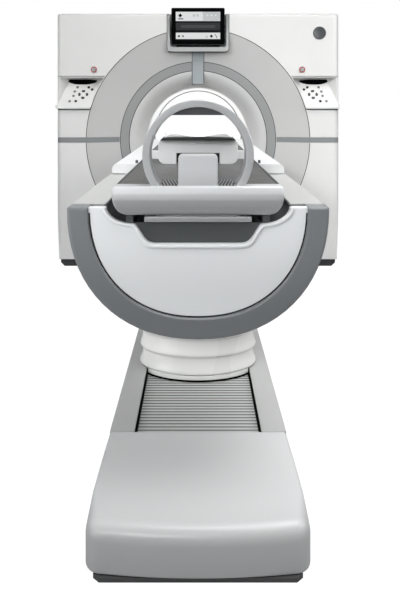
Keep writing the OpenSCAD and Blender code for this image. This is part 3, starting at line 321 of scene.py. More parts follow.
cover_white = moulded("cover_white", (0.80, 0.80, 0.785), rough=0.42, coat=0.1)
cover_grey = moulded("cover_grey", (0.80, 0.80, 0.79), rough=0.42, coat=0.08)
cover_rear = moulded("cover_rear", (0.70, 0.70, 0.69), rough=0.45)
# Painted shade: the dished ring cover is the cover white made darker
dish_shaded_white = moulded("dish_shaded_white", (0.60, 0.60, 0.59), rough=0.42, coat=0.1)
# The bell carries painted shade, darker towards the trim
bell_white = moulded("bell_white", (0.79, 0.79, 0.78), rough=0.36, coat=0.15, radius=0.009,
                     painted_shade=("Y", -0.43, -0.33, 0.84))
window_film = moulded("window_film", (0.66, 0.66, 0.65), rough=0.3, coat=0.2)
trim_grey = moulded("trim_grey", (0.325, 0.335, 0.33), rough=0.42)
stripe_grey = moulded("stripe_grey", (0.27, 0.28, 0.28), rough=0.4)
bar_blue = moulded("light_bar_blue", (0.40, 0.435, 0.45), rough=0.3, coat=0.2)
bay_grey = moulded("bay_grey", (0.46, 0.47, 0.47), rough=0.4)
bezel_black = moulded("bezel_black", (0.002, 0.002, 0.0022), rough=0.5, gloss=0.02)
key_dark = moulded("key_dark", (0.02, 0.022, 0.025), rough=0.45, peel=2500.0, gloss=0.3)
key_mid = moulded("key_mid", (0.20, 0.21, 0.22), rough=0.45, peel=2500.0)
stop_red = moulded("stop_red", (0.50, 0.045, 0.04), rough=0.3, coat=0.4)
stop_grey = moulded("stop_grey", (0.42, 0.44, 0.44), rough=0.35)
frame_paint = moulded("frame_paint", (0.05, 0.052, 0.055), rough=0.55, bump=0.12)
steel = brushed("turned_steel", (0.55, 0.56, 0.57), rough=0.3)
copper = brushed("copper_ring", (0.62, 0.33, 0.17), rough=0.35)
alloy = brushed("cast_alloy", (0.50, 0.51, 0.52), rough=0.45)
housing = moulded("rotor_housing", (0.24, 0.28, 0.33), rough=0.45)
# The rim carries painted shade, darker towards its bottom
rim_metal = moulded("rim_metal", (0.275, 0.29, 0.302), rough=0.34, metal=0.3, peel=1800.0, bump=0.03,
                    radius=0.012, painted_shade=("Z", 0.62, 0.93, 0.66))
# The end cap carries painted shade, darker towards its bottom, with the post above it at full colour
end_silver = moulded("end_silver", (0.75, 0.765, 0.78), rough=0.4, metal=0.25, peel=1800.0, bump=0.03,
                     radius=0.008, drift=0.03, painted_shade=("Z", 0.93, 1.06, 0.50))
hoop_silver = moulded("hoop_silver", (0.66, 0.675, 0.685), rough=0.3, metal=0.35, peel=1800.0, radius=0.006)
# The end panel carries painted shade, darker towards its bottom
panel_white = moulded("end_panel_white", (0.92, 0.94, 0.955), rough=0.35, coat=0.15, radius=0.009, edge=1.0,
                      painted_shade=("Z", 0.70, 0.95, 0.75))
deck_grey = moulded("deck_grey", (0.51, 0.515, 0.505), rough=0.4)
pan_dark = moulded("pan_dark", (0.066, 0.071, 0.074), rough=0.5)
shoulder_white = moulded("shoulder_white", (0.86, 0.865, 0.87), rough=0.35, coat=0.1, radius=0.005)
carbon = woven("carbon_cloth", (0.052, 0.052, 0.050), rough=0.4)
# Painted shade: the base cover is a darker copy of the nose white, for the shade under the table
base_shaded_white = moulded("base_shaded_white", (0.50, 0.505, 0.50), rough=0.36, coat=0.12, radius=0.008)
# The nose carries painted shade, darker towards the floor
nose_white = moulded("nose_white", (0.68, 0.687, 0.69), rough=0.36, coat=0.12, radius=0.004,
                     painted_shade=("Z", 0.105, 0.155, 0.56))
slat_grey = slatted("slat_alloy", (0.58, 0.59, 0.58), (0.12, 0.125, 0.125),
                    first_y=-3.05, pitch=0.018, groove_share=0.34)
black_joint_and_shade = moulded("black_joint_and_shade", (0.03, 0.03, 0.032), rough=0.6, gloss=0.2)
plinth_black = moulded("plinth_black", (0.05, 0.05, 0.052), rough=0.7, bump=0.2)
bellows_rubber = moulded("bellows_rubber", (0.80, 0.80, 0.785), rough=0.28, coat=0.3, peel=260.0)
grip_rubber = moulded("grip_rubber", (0.095, 0.098, 0.102), rough=0.6, bump=0.2)
hatch_left, hatch_right = (
    hatched(f"hatch_rubber_{word}", (0.004, 0.004, 0.005), (0.40, 0.40, 0.41), pitch=36.0, slant=slant)
    for word, slant in (("left", -8), ("right", 8)))
pad_skin = cloth_skin("pad_skin", (0.80, 0.80, 0.79))
badge_metal = brushed("badge_metal", (0.10, 0.105, 0.11), rough=0.35, metal=0.4)

finish_of = {
    cover_white: ["front_upper_left_panel", "front_upper_right_panel", "front_lower_right_panel", "top_cover",
                  "left_control_panel", "right_control_panel", "right_side_cover", "left_side_cover"],
    cover_grey: ["front_lower_left_panel"],
    cover_rear: ["rear_cover"],
    dish_shaded_white: ["front_ring_cover"],
    bell_white: ["front_bell", "rear_bell"],
    window_film: ["bore_window"],
    trim_grey: ["ring_trim"],
    stripe_grey: ["stripe_trims"],
    bar_blue: ["light_bar"],
    bay_grey: ["display_bay"],
    bezel_black: ["display_housing"],
    key_dark: ["left_key_up", "left_key_down", "left_key_in", "left_key_out",
               "right_key_up", "right_key_down", "right_key_in", "right_key_out"],
    stop_grey: ["left_estop", "right_estop"],
    frame_paint: ["gantry_frame", "pedestal_carriage"],
    steel: ["main_bearing", "base_rails", "lift_outer_tube", "lift_middle_tube", "lift_inner_tube"],
    copper: ["drive_stator", "slip_ring"],
    alloy: ["rotor_drum"],
    housing: ["xray_tube", "collimator", "detector_array", "hv_generator"],
    base_shaded_white: ["base_cover"],
    nose_white: ["base_nose"],
    plinth_black: ["base_plinth"],
    slat_grey: ["slat_cover"],
    bellows_rubber: ["column_bellows"],
    deck_grey: ["table_shell"],
    rim_metal: ["table_rim"],
    panel_white: ["end_panel"],
    pan_dark: ["table_pan"],
    shoulder_white: ["side_shoulders", "head_mount"],
    carbon: ["cradle_top"],
    end_silver: ["cradle_end"],
    hoop_silver: ["hoop_handle"],
    grip_rubber: ["hoop_grip"],
    black_joint_and_shade: ["head_tray"],
    pad_skin: ["head_pad"],
}
for finish, names in finish_of.items():
    for name in names:
        mesh = cad[name].data
        mesh.materials.clear()
        mesh.materials.append(finish)


# Modelling helpers

SIDES = ((-1, "left"), (1, "right"))


def only(piece):
    """Makes the piece the one that is selected and active, in object mode."""
    if bpy.context.object and bpy.context.object.mode != "OBJECT":
        bpy.ops.object.mode_set(mode="OBJECT")
    bpy.ops.object.select_all(action="DESELECT")
    piece.select_set(True)
    bpy.context.view_layer.objects.active = piece


def started(name):
    """The primitive that was just added, under its own name."""
    piece = bpy.context.object
    piece.name = name
    piece.data.name = name
    return piece


def pick_top(piece):
    """Leaves the piece in edit mode with the faces that look up selected."""
    bpy.ops.object.mode_set(mode="EDIT")
    bpy.ops.mesh.select_mode(type="FACE")
    bpy.ops.mesh.select_all(action="DESELECT")
    bpy.ops.object.mode_set(mode="OBJECT")
    for face in piece.data.polygons:
        face.select = face.normal.z > 0.5
    bpy.ops.object.mode_set(mode="EDIT")


def new_grid(name, columns, rows, size=2):
    bpy.ops.mesh.primitive_grid_add(x_subdivisions=columns, y_subdivisions=rows, size=size)
    return started(name)


def face_outward():
    """In edit mode: turns all normals outward. Leaves edit mode."""
    bpy.ops.mesh.select_all(action="SELECT")
    bpy.ops.mesh.normals_make_consistent(inside=False)
    bpy.ops.object.mode_set(mode="OBJECT")


def draw_out(way):
    """Draws the active sheet out into a solid."""
    bpy.ops.object.mode_set(mode="EDIT")
    bpy.ops.mesh.select_all(action="SELECT")
    bpy.ops.mesh.extrude_region_move(TRANSFORM_OT_translate={"value": way})
    face_outward()


def seat(piece, turn=None, place=(0, 0, 0)):
    """Turns and moves the mesh, so that the object itself stays at the origin."""
    only(piece)
    bpy.ops.object.transform_apply(location=True, rotation=True, scale=True)
    move = Matrix.Translation(Vector(place))
    piece.data.transform(move @ turn if turn else move)
    piece.data.update()


def apply_modifier(piece, kind, **settings):
    only(piece)
    modifier = piece.modifiers.new(kind.lower(), kind)
    for key, value in settings.items():
        setattr(modifier, key, value)
    bpy.ops.object.modifier_apply(modifier=modifier.name)


def round_edges(piece, width, segments=2, above=50):
    """Rounds the edges that bend by more than an angle in degrees."""
    apply_modifier(piece, "BEVEL", width=width, segments=segments, limit_method="ANGLE",
                   angle_limit=math.radians(above))


def dress(piece, finish, body, smooth=30):
    """Shades the piece, gives it its finish, unless it has its own, and hands it to its body."""
    only(piece)
    bpy.ops.object.shade_smooth_by_angle(angle=math.radians(smooth))
    if finish:
        piece.data.materials.clear()
        piece.data.materials.append(finish)
    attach(piece, body)


def plate(name, width, depth, height, round_edge):
    """Flat plate with its top face inset and lifted a little and all its edges rounded."""
    bpy.ops.mesh.primitive_cube_add(size=1)
    piece = started(name)
    piece.scale = (width, depth, height)
    bpy.ops.object.transform_apply(location=False, rotation=False, scale=True)
    pick_top(piece)
    bpy.ops.mesh.inset(thickness=min(width, depth) * 0.12, depth=height * 0.08)
    bpy.ops.object.mode_set(mode="OBJECT")
    round_edges(piece, round_edge, segments=3, above=40)
    return piece


def disc(name, radius, height, round_edge, dish, sides):
    """Round disc with a rolled edge and a dished top, or a raised one where the dish is negative."""
    bpy.ops.mesh.primitive_cylinder_add(vertices=sides, radius=radius, depth=height)
    piece = started(name)
    pick_top(piece)
    bpy.ops.mesh.inset(thickness=max(radius * 0.16, round_edge * 1.3), depth=0)
    bpy.ops.mesh.inset(thickness=max(radius * 0.05, round_edge * 2.5), depth=-dish)
    bpy.ops.object.mode_set(mode="OBJECT")
    round_edges(piece, round_edge, segments=3, above=35)
    return piece


FACE_FRONT = Matrix.Rotation(math.radians(90), 4, "X")

# Gantry front: blank badge disc, red collars of the stops

BADGE_PLACE = (0.923, -0.503, 1.779)
STOP_X, COLLAR_Y, STOP_Z = 0.790, -0.5095, 1.501
COLLAR_RADIUS, COLLAR_THICK, COLLAR_FLAT = 0.0192, 0.0036, 0.6

badge = disc("badge_blank", 0.049, 0.006, 0.0015, dish=0.0012, sides=64)
seat(badge, FACE_FRONT, BADGE_PLACE)
dress(badge, badge_metal, "gantry")

for side, word in SIDES:
    bpy.ops.mesh.primitive_torus_add(major_radius=COLLAR_RADIUS, minor_radius=COLLAR_THICK,
                                     major_segments=48, minor_segments=12)
    collar = started(word + "_stop_collar")
    bpy.ops.object.mode_set(mode="EDIT")
    bpy.ops.mesh.select_all(action="SELECT")
    bpy.ops.transform.resize(value=(1, 1, COLLAR_FLAT))
    bpy.ops.object.mode_set(mode="OBJECT")
    seat(collar, FACE_FRONT, (side * STOP_X, COLLAR_Y, STOP_Z))
    dress(collar, stop_red, "gantry")

# Dark lines in the seams, partly the joints and partly painted shade: beads swept round the bore in the ring
# seams, and flat strips round the light bar, the bay and the end panel and along the edges of the control
# panels

BORE_Z = 0.965
TRIM_Y, FRONT_Y = -0.428, -0.500
BEAD_SIDES = 10


def bead(name, radius, y, first, last, thick, flat=0.5):
    """Flattened bead swept round the bore axis between two angles, in degrees from the top."""
    bpy.ops.mesh.primitive_circle_add(vertices=BEAD_SIDES, radius=thick, fill_type="NOTHING")
    piece = started(name)
    start = math.radians(first)
    for number, vertex in enumerate(piece.data.vertices):
        turn = 2 * math.pi * number / BEAD_SIDES
        out = radius + thick * math.cos(turn)
        vertex.co = (out * math.sin(start), y + flat * thick * math.sin(turn), BORE_Z + out * math.cos(start))
    bpy.ops.object.mode_set(mode="EDIT")
    bpy.ops.mesh.select_mode(type="VERT")
    bpy.ops.mesh.select_all(action="SELECT")
    bpy.ops.mesh.spin(steps=max(8, round((last - first) / 2)), angle=math.radians(last - first),
                      center=(0, y, BORE_Z), axis=(0, -1, 0))
    bpy.ops.mesh.select_all(action="SELECT")
    bpy.ops.mesh.fill_holes(sides=BEAD_SIDES + 2)
    face_outward()
    dress(piece, black_joint_and_shade, "gantry")


def ribbon(name, path, width, thick, body="gantry"):
    """Flat strip along a path on an upright face, drawn out to the front."""
    piece = new_grid(name, len(path) - 1, 1)
    for vertex in piece.data.vertices:
        index = round((vertex.co.x + 1) / 2 * (len(path) - 1))
        along = Vector(path[min(len(path) - 1, index + 1)]) - Vector(path[max(0, index - 1)])
        across = Vector((along.z, 0, -along.x)).normalized()
        vertex.co = Vector(path[index]) + across * math.copysign(width / 2, vertex.co.y)
    draw_out((0, -thick, 0))
    round_edges(piece, 0.0003)
    dress(piece, black_joint_and_shade, body)


def mirrored(half):
    """The left half of a path, from its end to the middle, and then the right half as given."""
    return [(-x, y, z) for x, y, z in reversed(half)] + half


bead("outer_trim_gasket", radius=0.6015, y=TRIM_Y, first=4.6, last=355.4, thick=0.0026)
bead("inner_trim_gasket", radius=0.5315, y=TRIM_Y, first=5.2, last=354.8, thick=0.0026)
bead("bore_gasket", radius=0.3985, y=0.378, first=0, last=359.9, thick=0.0036, flat=1.0)
for number, (first, last) in enumerate(((16.4, 88.4), (91.6, 268.4), (271.6, 343.6))):
    bead(f"ring_gasket_{number}", radius=0.850, y=FRONT_Y, first=first, last=last, thick=0.0024)

BAR_SIDE, BAR_LOW, BAR_BEND, BAR_HIGH = 0.0453, 1.3930, 1.565, 1.634
BAR_HIGH_Y, BAR_GAP = -0.4482, 0.0004
bar_side = [(BAR_SIDE, TRIM_Y - BAR_GAP, BAR_LOW), (BAR_SIDE, TRIM_Y - BAR_GAP, BAR_BEND),
            (BAR_SIDE, BAR_HIGH_Y - BAR_GAP, BAR_HIGH)]
ribbon("bar_gasket", mirrored(bar_side), width=0.0042, thick=0.0012)

BAY_SIDE, BAY_LOW, BAY_TOP, BAY_CORNER = 0.2355, 1.6365, 1.92, 0.0255
BAY_Y = FRONT_Y + 0.0006
bay_side = [(BAY_SIDE - BAY_CORNER + BAY_CORNER * math.sin(math.radians(turn)), BAY_Y,
             BAY_LOW + BAY_CORNER - BAY_CORNER * math.cos(math.radians(turn))) for turn in range(0, 91, 15)]
bay_side.append((BAY_SIDE, BAY_Y, BAY_TOP))
ribbon("bay_gasket", mirrored(bay_side), width=0.0040, thick=0.0012)

# Name, height, points across and width of the dark lines under and over each control panel, which are painted
# shadow under the lip and under the top edge of the recess
EDGE_LINES = [("lip_line", 1.1975, (0.824, 0.9, 0.98, 1.066), 0.0050),
              ("recess_line", 1.4505, (0.708, 0.83, 0.95, 1.066), 0.0034)]
LINE_Y = FRONT_Y - 0.0002
for side, word in SIDES:
    for line, z, points, width in EDGE_LINES:
        ribbon(f"{word}_{line}", [(side * x, LINE_Y, z) for x in points], width, thick=0.0010)

# The end panel's outline: the lower half of a superellipse, inside the rim
END_Y, DECK_Z, RIM_INSET = -3.1015, 0.949, 0.0590
BODY_HALF, BODY_H, BODY_POWER = 0.354, 0.355, 2.2
end_curve = []
for turn in range(2, 179, 4):
    across, down = math.cos(math.radians(turn)), math.sin(math.radians(turn))
    x = math.copysign(abs(across) ** (2 / BODY_POWER), across) * (BODY_HALF - RIM_INSET)
    end_curve.append((x, END_Y, DECK_Z - (BODY_H - RIM_INSET) * down ** (2 / BODY_POWER)))
ribbon("panel_gasket", end_curve, width=0.0042, thick=0.0010, body="table")

# Control panels: black status strip, caps on the round keys, marks on the four keys

SLOPE_DEPTH, SLOPE_HEIGHT = 0.105, 0.213
LEAN = math.atan2(SLOPE_DEPTH, SLOPE_HEIGHT)
UP_SLOPE = Vector((0, math.sin(LEAN), math.cos(LEAN)))
OUT_SLOPE = Vector((0, -math.cos(LEAN), math.sin(LEAN)))
PANEL_TURN = Matrix.Rotation(math.radians(90) - LEAN, 4, "X")
SLOPE_FOOT = Vector((0, -0.520, 1.220))
SLOPE_LENGTH = math.hypot(SLOPE_DEPTH, SLOPE_HEIGHT)
KEY_X, KEY_UP, KEY_PITCH = 0.878, SLOPE_LENGTH * 0.43, 0.029
CAP_OUT, MARK_OUT, STRIP_OUT = 0.0038, 0.0053, 0.0005
STRIP_X, STRIP_UP, STRIP_HALF, STRIP_TOP = 0.896, SLOPE_LENGTH * 0.905, 0.116, 0.0155
# The status strip swells from its tips to the middle, and its inner end falls away past a bend
STRIP_SWELL, STRIP_TIP, STRIP_FALL, STRIP_BEND = 0.0195, 0.0015, 0.014, 0.35


def on_panel(side, x, v, out):
    """Place on a control panel: across, up the slope and out of it."""
    return Vector((side * x, 0, 0)) + SLOPE_FOOT + UP_SLOPE * v + OUT_SLOPE * out


def on_keys(side, dx, dv, out):
    """Place on a control panel, in key pitches from the middle of the four keys."""
    return on_panel(side, KEY_X + dx * KEY_PITCH, KEY_UP + dv * KEY_PITCH, out)


# Places of the small round keys, of which the first four are paler
PALE_KEYS = 4
ROUND_KEYS = [(1.7, 2.15), (2.3, 0.85), (2.5, -0.45), (3.35, -2), (1.75, -2), (-1.3, 2.1), (-2.25, 1.45)]
PETALS = [("up", 0, 1), ("out", 1, 0), ("down", 0, -1), ("in", -1, 0)]

for side, word in SIDES:
    strip = new_grid(word + "_status_strip", 32, 2)
    for vertex in strip.data.vertices:
        along = side * vertex.co.x
        fall = STRIP_FALL * max(0.0, -along - STRIP_BEND) ** 1.6
        half = STRIP_SWELL * (1 - abs(along) ** 2.6) ** 0.6 + STRIP_TIP
        vertex.co = (vertex.co.x * STRIP_HALF, vertex.co.y * half + STRIP_TOP - half - fall, 0)
    draw_out((0, 0, 0.005))
    round_edges(strip, 0.0008)
    seat(strip, PANEL_TURN, on_panel(side, STRIP_X, STRIP_UP, STRIP_OUT))
    dress(strip, bezel_black, "gantry")
    for number, (dx, dv) in enumerate(ROUND_KEYS):
        cap = disc(f"{word}_round_key_{number}", 0.0102, 0.002, 0.0006, dish=0.0005, sides=32)
        seat(cap, PANEL_TURN, on_keys(side, dx, dv, CAP_OUT))
        dress(cap, key_mid if number < PALE_KEYS else key_dark, "gantry")
    for petal, dx, dv in PETALS:
        mark = disc(f"{word}_key_mark_{petal}", 0.0019, 0.0008, 0.0002, dish=0.0002, sides=24)
        seat(mark, PANEL_TURN, on_keys(side, dx, dv, MARK_OUT))
        dress(mark, cover_white, f"{word}_key_{petal}_body")

# Display: fields of the screen, drawn as small cells on a flat glass, in shares of its width and height

DISPLAY_LEAN = math.radians(8)
DISPLAY_TURN = Matrix.Rotation(math.radians(90) + DISPLAY_LEAN, 4, "X")
DISPLAY_OUT = Vector((0, -math.cos(DISPLAY_LEAN), -math.sin(DISPLAY_LEAN)))
DISPLAY_MIDDLE, SCREEN_OUT = Vector((0, -0.507, 1.829)), 0.0136
SCREEN_W, SCREEN_H, SCREEN_THICK = 0.336, 0.216, 0.0008
SCREEN_COLUMNS, SCREEN_ROWS = 112, 72

WHITE, PALE, DARK, BLACK, MID, SOFT = range(6)
screen_tones = [
    lit("screen_white", (0.93, 0.94, 0.94), 0.72),
    lit("screen_pale", (0.66, 0.68, 0.69), 0.75),
    lit("screen_dark", (0.055, 0.058, 0.06), 0.6),
    lit("screen_black", (0.006, 0.006, 0.007), 0.4),
    lit("screen_mid", (0.22, 0.23, 0.24), 0.6),
    lit("screen_soft", (0.10, 0.105, 0.11), 0.6),
]

# Left, right, low, high and tone; a later field covers an earlier one
FIELDS = [
    (0, 1, 0.68, 1, WHITE), (0.61, 1, 0.70, 1, PALE), (0.05, 0.17, 0.74, 0.775, MID),
    (0.38, 0.44, 0.83, 0.92, PALE), (0.46, 0.52, 0.83, 0.92, PALE), (0.70, 0.735, 0.85, 0.90, WHITE),
    (0.79, 0.825, 0.85, 0.90, WHITE), (0.88, 0.915, 0.85, 0.90, WHITE), (0, 1, 0.31, 0.36, BLACK),
    (0, 1, 0.63, 0.68, BLACK), (0.12, 0.88, 0.44, 0.54, SOFT), (0, 1, 0, 0.05, BLACK),
    (0, 1, 0.05, 0.28, WHITE), (0.67, 0.72, 0.10, 0.16, PALE), (0.88, 0.90, 0.16, 0.22, MID),
    (0.91, 0.93, 0.10, 0.16, MID),
]
# Middle, radius and tone
DOTS = [(0.07, 0.155, 0.022, BLACK), (0.16, 0.155, 0.022, MID), (0.80, 0.155, 0.03, BLACK)]
# Middle, and half of the diagonal in metres
LOZENGE_U, LOZENGE_V, LOZENGE_HALF = 0.10, 0.87, 0.016


def tone_at(u, v):
    shown = DARK
    for left, right, low, high, tone in FIELDS:
        if left <= u <= right and low <= v <= high:
            shown = tone
    for centre_u, centre_v, radius, tone in DOTS:
        if math.hypot(u - centre_u, (v - centre_v) * SCREEN_H / SCREEN_W) <= radius:
            shown = tone
    if abs(u - LOZENGE_U) * SCREEN_W + abs(v - LOZENGE_V) * SCREEN_H < LOZENGE_HALF:
        shown = BLACK
    return shown


screen = new_grid("display_screen", SCREEN_COLUMNS, SCREEN_ROWS, size=1)
screen.scale = (SCREEN_W, SCREEN_H, 1)
bpy.ops.object.transform_apply(location=False, rotation=False, scale=True)
draw_out((0, 0, SCREEN_THICK))
for finish in screen_tones:
    screen.data.materials.append(finish)
for face in screen.data.polygons:
    face.material_index = tone_at(face.center.x / SCREEN_W + 0.5, face.center.y / SCREEN_H + 0.5)
seat(screen, DISPLAY_TURN, DISPLAY_MIDDLE + DISPLAY_OUT * SCREEN_OUT)
dress(screen, None, "gantry")

# Painted shadow: a black plate under the display, where the back wall of the bay is in shade
BAY_SHADOW_PLACE = (0, -0.4505, 1.683)
bay_shadow_plate = plate("bay_shadow_plate", SCREEN_W, 0.016, 0.004, 0.0012)
seat(bay_shadow_plate, FACE_FRONT, BAY_SHADOW_PLACE)
dress(bay_shadow_plate, bezel_black, "gantry")

# Cradle: ribbed mats beside the post, black edge strips along the carbon top, knobs of the straps beside it

MAT_PLACE = Vector((0.0785, -3.029, 1.0063))
STRIP_PLACE = Vector((0.2265, -1.872, 1.0035))
KNOB_PLACE = Vector((0.250, -2.372, 0.997))
NOTCH_SHADOW_PLACE = Vector((0, -2.4820, 1.0245))

for side, word in SIDES:
    to_side = Vector((side, 1, 1))
    mat = plate(word + "_ribbed_mat", 0.045, 0.106, 0.0024, 0.0008)
    seat(mat, None, MAT_PLACE * to_side)
    dress(mat, hatch_left if side < 0 else hatch_right, "cradle")
    edge_strip = plate(word + "_cradle_edge", 0.006, 2.34, 0.003, 0.0008)
    seat(edge_strip, None, STRIP_PLACE * to_side)
    dress(edge_strip, grip_rubber, "cradle")
    knob = disc(word + "_strap_knob", 0.0055, 0.012, 0.0010, dish=-0.001, sides=32)
    seat(knob, None, KNOB_PLACE * to_side)
    dress(knob, grip_rubber, "table")

# Painted shadow: a black plate inside the notch of the head mount, where the notch is in shade
notch_shadow = plate("mount_notch_shadow", 0.164, 0.040, 0.003, 0.0008)
seat(notch_shadow, FACE_FRONT, NOTCH_SHADOW_PLACE)
dress(notch_shadow, black_joint_and_shade, "cradle")

# Bellows: an oval ring drawn up through six flared rings, each with a rounded bead at its foot

COLUMN_Y, COLUMN_FOOT, COLUMN_HEAD, LIFT_TRAVEL = -2.295, 0.1515, 0.5775, 0.3
HALF_WIDE, HALF_DEEP, FLARE = 0.2435, 0.1395, 0.013
RINGS = 6
# One ring's outline: shares of its height, and of the flare that is drawn in there
BEAD = [(0.0, 0.5), (0.05, 0.1), (0.11, 0.0), (0.18, 0.06),
        (0.32, 0.36), (0.5, 0.68), (0.72, 0.9), (0.94, 1.0)]

bpy.ops.mesh.primitive_circle_add(vertices=96, radius=1, fill_type="NOTHING",
                                  location=(0, COLUMN_Y, COLUMN_FOOT))
bellows = started("bellows_skin")
ring_h = (COLUMN_HEAD - COLUMN_FOOT) / RINGS
outline = [(COLUMN_FOOT + (ring + share) * ring_h, drawn_in)
           for ring in range(RINGS) for share, drawn_in in BEAD]
outline.append((COLUMN_HEAD, 1.0))
bpy.ops.object.mode_set(mode="EDIT")
bpy.ops.mesh.select_mode(type="VERT")
bpy.ops.mesh.select_all(action="SELECT")
wide, deep, height = 1.0, 1.0, COLUMN_FOOT
for number, (z, drawn_in) in enumerate(outline):
    if number:
        bpy.ops.mesh.extrude_region_move(TRANSFORM_OT_translate={"value": (0, 0, z - height)})
    next_wide, next_deep = HALF_WIDE - drawn_in * FLARE, HALF_DEEP - drawn_in * FLARE
    bpy.ops.transform.resize(value=(next_wide / wide, next_deep / deep, 1), center_override=(0, COLUMN_Y, z))
    wide, deep, height = next_wide, next_deep, z
face_outward()
seat(bellows)
apply_modifier(bellows, "SOLIDIFY", thickness=0.003, offset=-1)
apply_modifier(bellows, "SUBSURF", levels=1, render_levels=1)
dress(bellows, bellows_rubber, "carriage", smooth=60)
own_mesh(bellows)
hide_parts("column_bellows")

# Foot of the bellows inside the slot, before and behind the lift tubes: a white skirt over a black band,
# which is painted shadow under the bellows

SKIRT_LOW, SHADOW_LOW = 0.1345, 0.1268
FOOT_HALF, FOOT_INSET, FOOT_WALL, FOOT_STEPS = 0.205, 0.003, 0.012, 24
FOOT_LAYERS = [("skirt", SKIRT_LOW, COLUMN_FOOT - 0.0005, bellows_rubber, "bellows_white"),
               ("shadow_band", SHADOW_LOW, SKIRT_LOW, bezel_black, "plinth_black")]
for facing, word in ((-1, "front"), (1, "rear")):
    for layer, low, high, finish, slot_name in FOOT_LAYERS:
        foot = new_grid(f"bellows_{layer}_{word}", FOOT_STEPS, 1)
        for vertex in foot.data.vertices:
            x, inner = vertex.co.x * FOOT_HALF, vertex.co.y < 0
            y = (HALF_DEEP - FOOT_INSET) * math.sqrt(1 - (x / (HALF_WIDE - FOOT_INSET)) ** 2)
            vertex.co = (x, COLUMN_Y + facing * (y - FOOT_WALL if inner else y), low)
        draw_out((0, 0, high - low))
        round_edges(foot, 0.001)
        dress(foot, finish, "carriage")

# Nose of the base: rings of the bowed plan, up the wall, over the roll and in across the sloping top

NOSE_TIP, NOSE_SEAM, NOSE_CORNER, NOSE_BOW = -3.1835, -2.7905, 0.045, 0.014
NOSE_TOP, NOSE_FALL, NOSE_FOOT, FOOT_ROLL = 0.1498, 0.020, 0.0122, 0.007
NOSE_HALF, NOSE_SEAM_HALF = 0.2988, 0.2908
FRONT_ROLL, SIDE_ROLL, ROLL_STEPS = 0.036, 0.010, 8
CREASE_Y, CREASE_BOW, SLOPE_POWER = -2.955, 0.06, 1.3
FRONT_STEPS, WALL_STEPS = 12, 8
# Rings across the top: shares of the way in from the roll to the middle of the seam
INWARD = [0.12, 0.26, 0.42, 0.6, 0.8]
WELD = 0.00001

# Half of the plan from the middle of the tip round the corner to the seam, then the mirrored half
corner_x, corner_y = NOSE_HALF - NOSE_CORNER, NOSE_TIP + NOSE_BOW + NOSE_CORNER
plan = [(corner_x * step / FRONT_STEPS, NOSE_TIP + NOSE_BOW * (step / FRONT_STEPS) ** 2)
        for step in range(FRONT_STEPS)]
plan += [(corner_x + NOSE_CORNER * math.sin(math.radians(turn)),
          corner_y - NOSE_CORNER * math.cos(math.radians(turn))) for turn in range(6, 91, 12)]
plan += [(NOSE_HALF + (NOSE_SEAM_HALF - NOSE_HALF) * step / WALL_STEPS,
          corner_y + (NOSE_SEAM - corner_y) * step / WALL_STEPS) for step in range(1, WALL_STEPS + 1)]
plan = [Vector(point) for point in plan + [(-x, y) for x, y in reversed(plan[1:])]]


def nose_height(x, y):
    """Height of the top, which slopes down to the tip from a bowed crease."""
    crease = CREASE_Y + CREASE_BOW * (x / NOSE_HALF) ** 2
    run = min(1.0, max(0.0, (crease - y) / (crease - NOSE_TIP)))
    return NOSE_TOP - NOSE_FALL * run ** SLOPE_POWER


def nose_section(index):
    """Points of one upright section of the nose, from the foot over the roll to the middle of the seam."""
    here = plan[index]
    if here.y > NOSE_SEAM - 0.001:
        inward = Vector((-math.copysign(1, here.x), 0))
    else:
        along = plan[(index + 1) % len(plan)] - plan[index - 1]
        inward = Vector((-along.y, along.x)).normalized()
    narrowed = min(1.0, max(0.0, 4 * (here.y - corner_y) / (NOSE_SEAM - corner_y)))
    roll = FRONT_ROLL + (SIDE_ROLL - FRONT_ROLL) * narrowed
    section = []
    for turn in (0, 30, 60, 90):
        turn = math.radians(turn)
        spot = here + inward * FOOT_ROLL * (1 - math.sin(turn))
        section.append((spot.x, spot.y, NOSE_FOOT + FOOT_ROLL * (1 - math.cos(turn))))
    for step in range(ROLL_STEPS + 1):
        turn = math.radians(90 * step / ROLL_STEPS)
        spot = here + inward * roll * (1 - math.cos(turn))
        section.append((spot.x, spot.y, nose_height(spot.x, spot.y) - roll * (1 - math.sin(turn))))
    for share in INWARD:
        inner = spot + (Vector((0, NOSE_SEAM)) - spot) * share
        section.append((inner.x, inner.y, nose_height(inner.x, inner.y)))
    return section


sections = [nose_section(index) for index in range(len(plan))]
sections.append(sections[0])
around, upward = len(sections) - 1, len(sections[0]) - 1
nose = new_grid("nose_skin", around, upward)
for vertex in nose.data.vertices:
    column, row = round((vertex.co.x + 1) / 2 * around), round((vertex.co.y + 1) / 2 * upward)
    vertex.co = sections[column][row]
bpy.ops.object.mode_set(mode="EDIT")
bpy.ops.mesh.select_all(action="SELECT")
bpy.ops.mesh.remove_doubles(threshold=WELD)
bpy.ops.mesh.dissolve_degenerate(threshold=WELD)
bpy.ops.mesh.select_all(action="SELECT")
bpy.ops.mesh.fill_holes(sides=0)
face_outward()
dress(nose, nose_white, "gantry", smooth=40)
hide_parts("base_nose")

# Head pad: a stuffed trough with two crests, swollen by cloth pressure

PAD_Y0, PAD_Y1, PAD_Z, PAD_TOP, PAD_HALF = -2.529, -2.309, 1.1026, 1.1335, 0.133
PAD_THICK, PAD_RISE, PAD_CREST, PAD_FALL = 0.006, 0.024, 0.106, PAD_HALF - 0.104
END_LENGTH, END_RISE = 0.02, 0.55
VOXEL, PRESSURE, PRESSURE_FRAMES, SWELL_LIMIT = 0.0045, 4, 20, 0.004

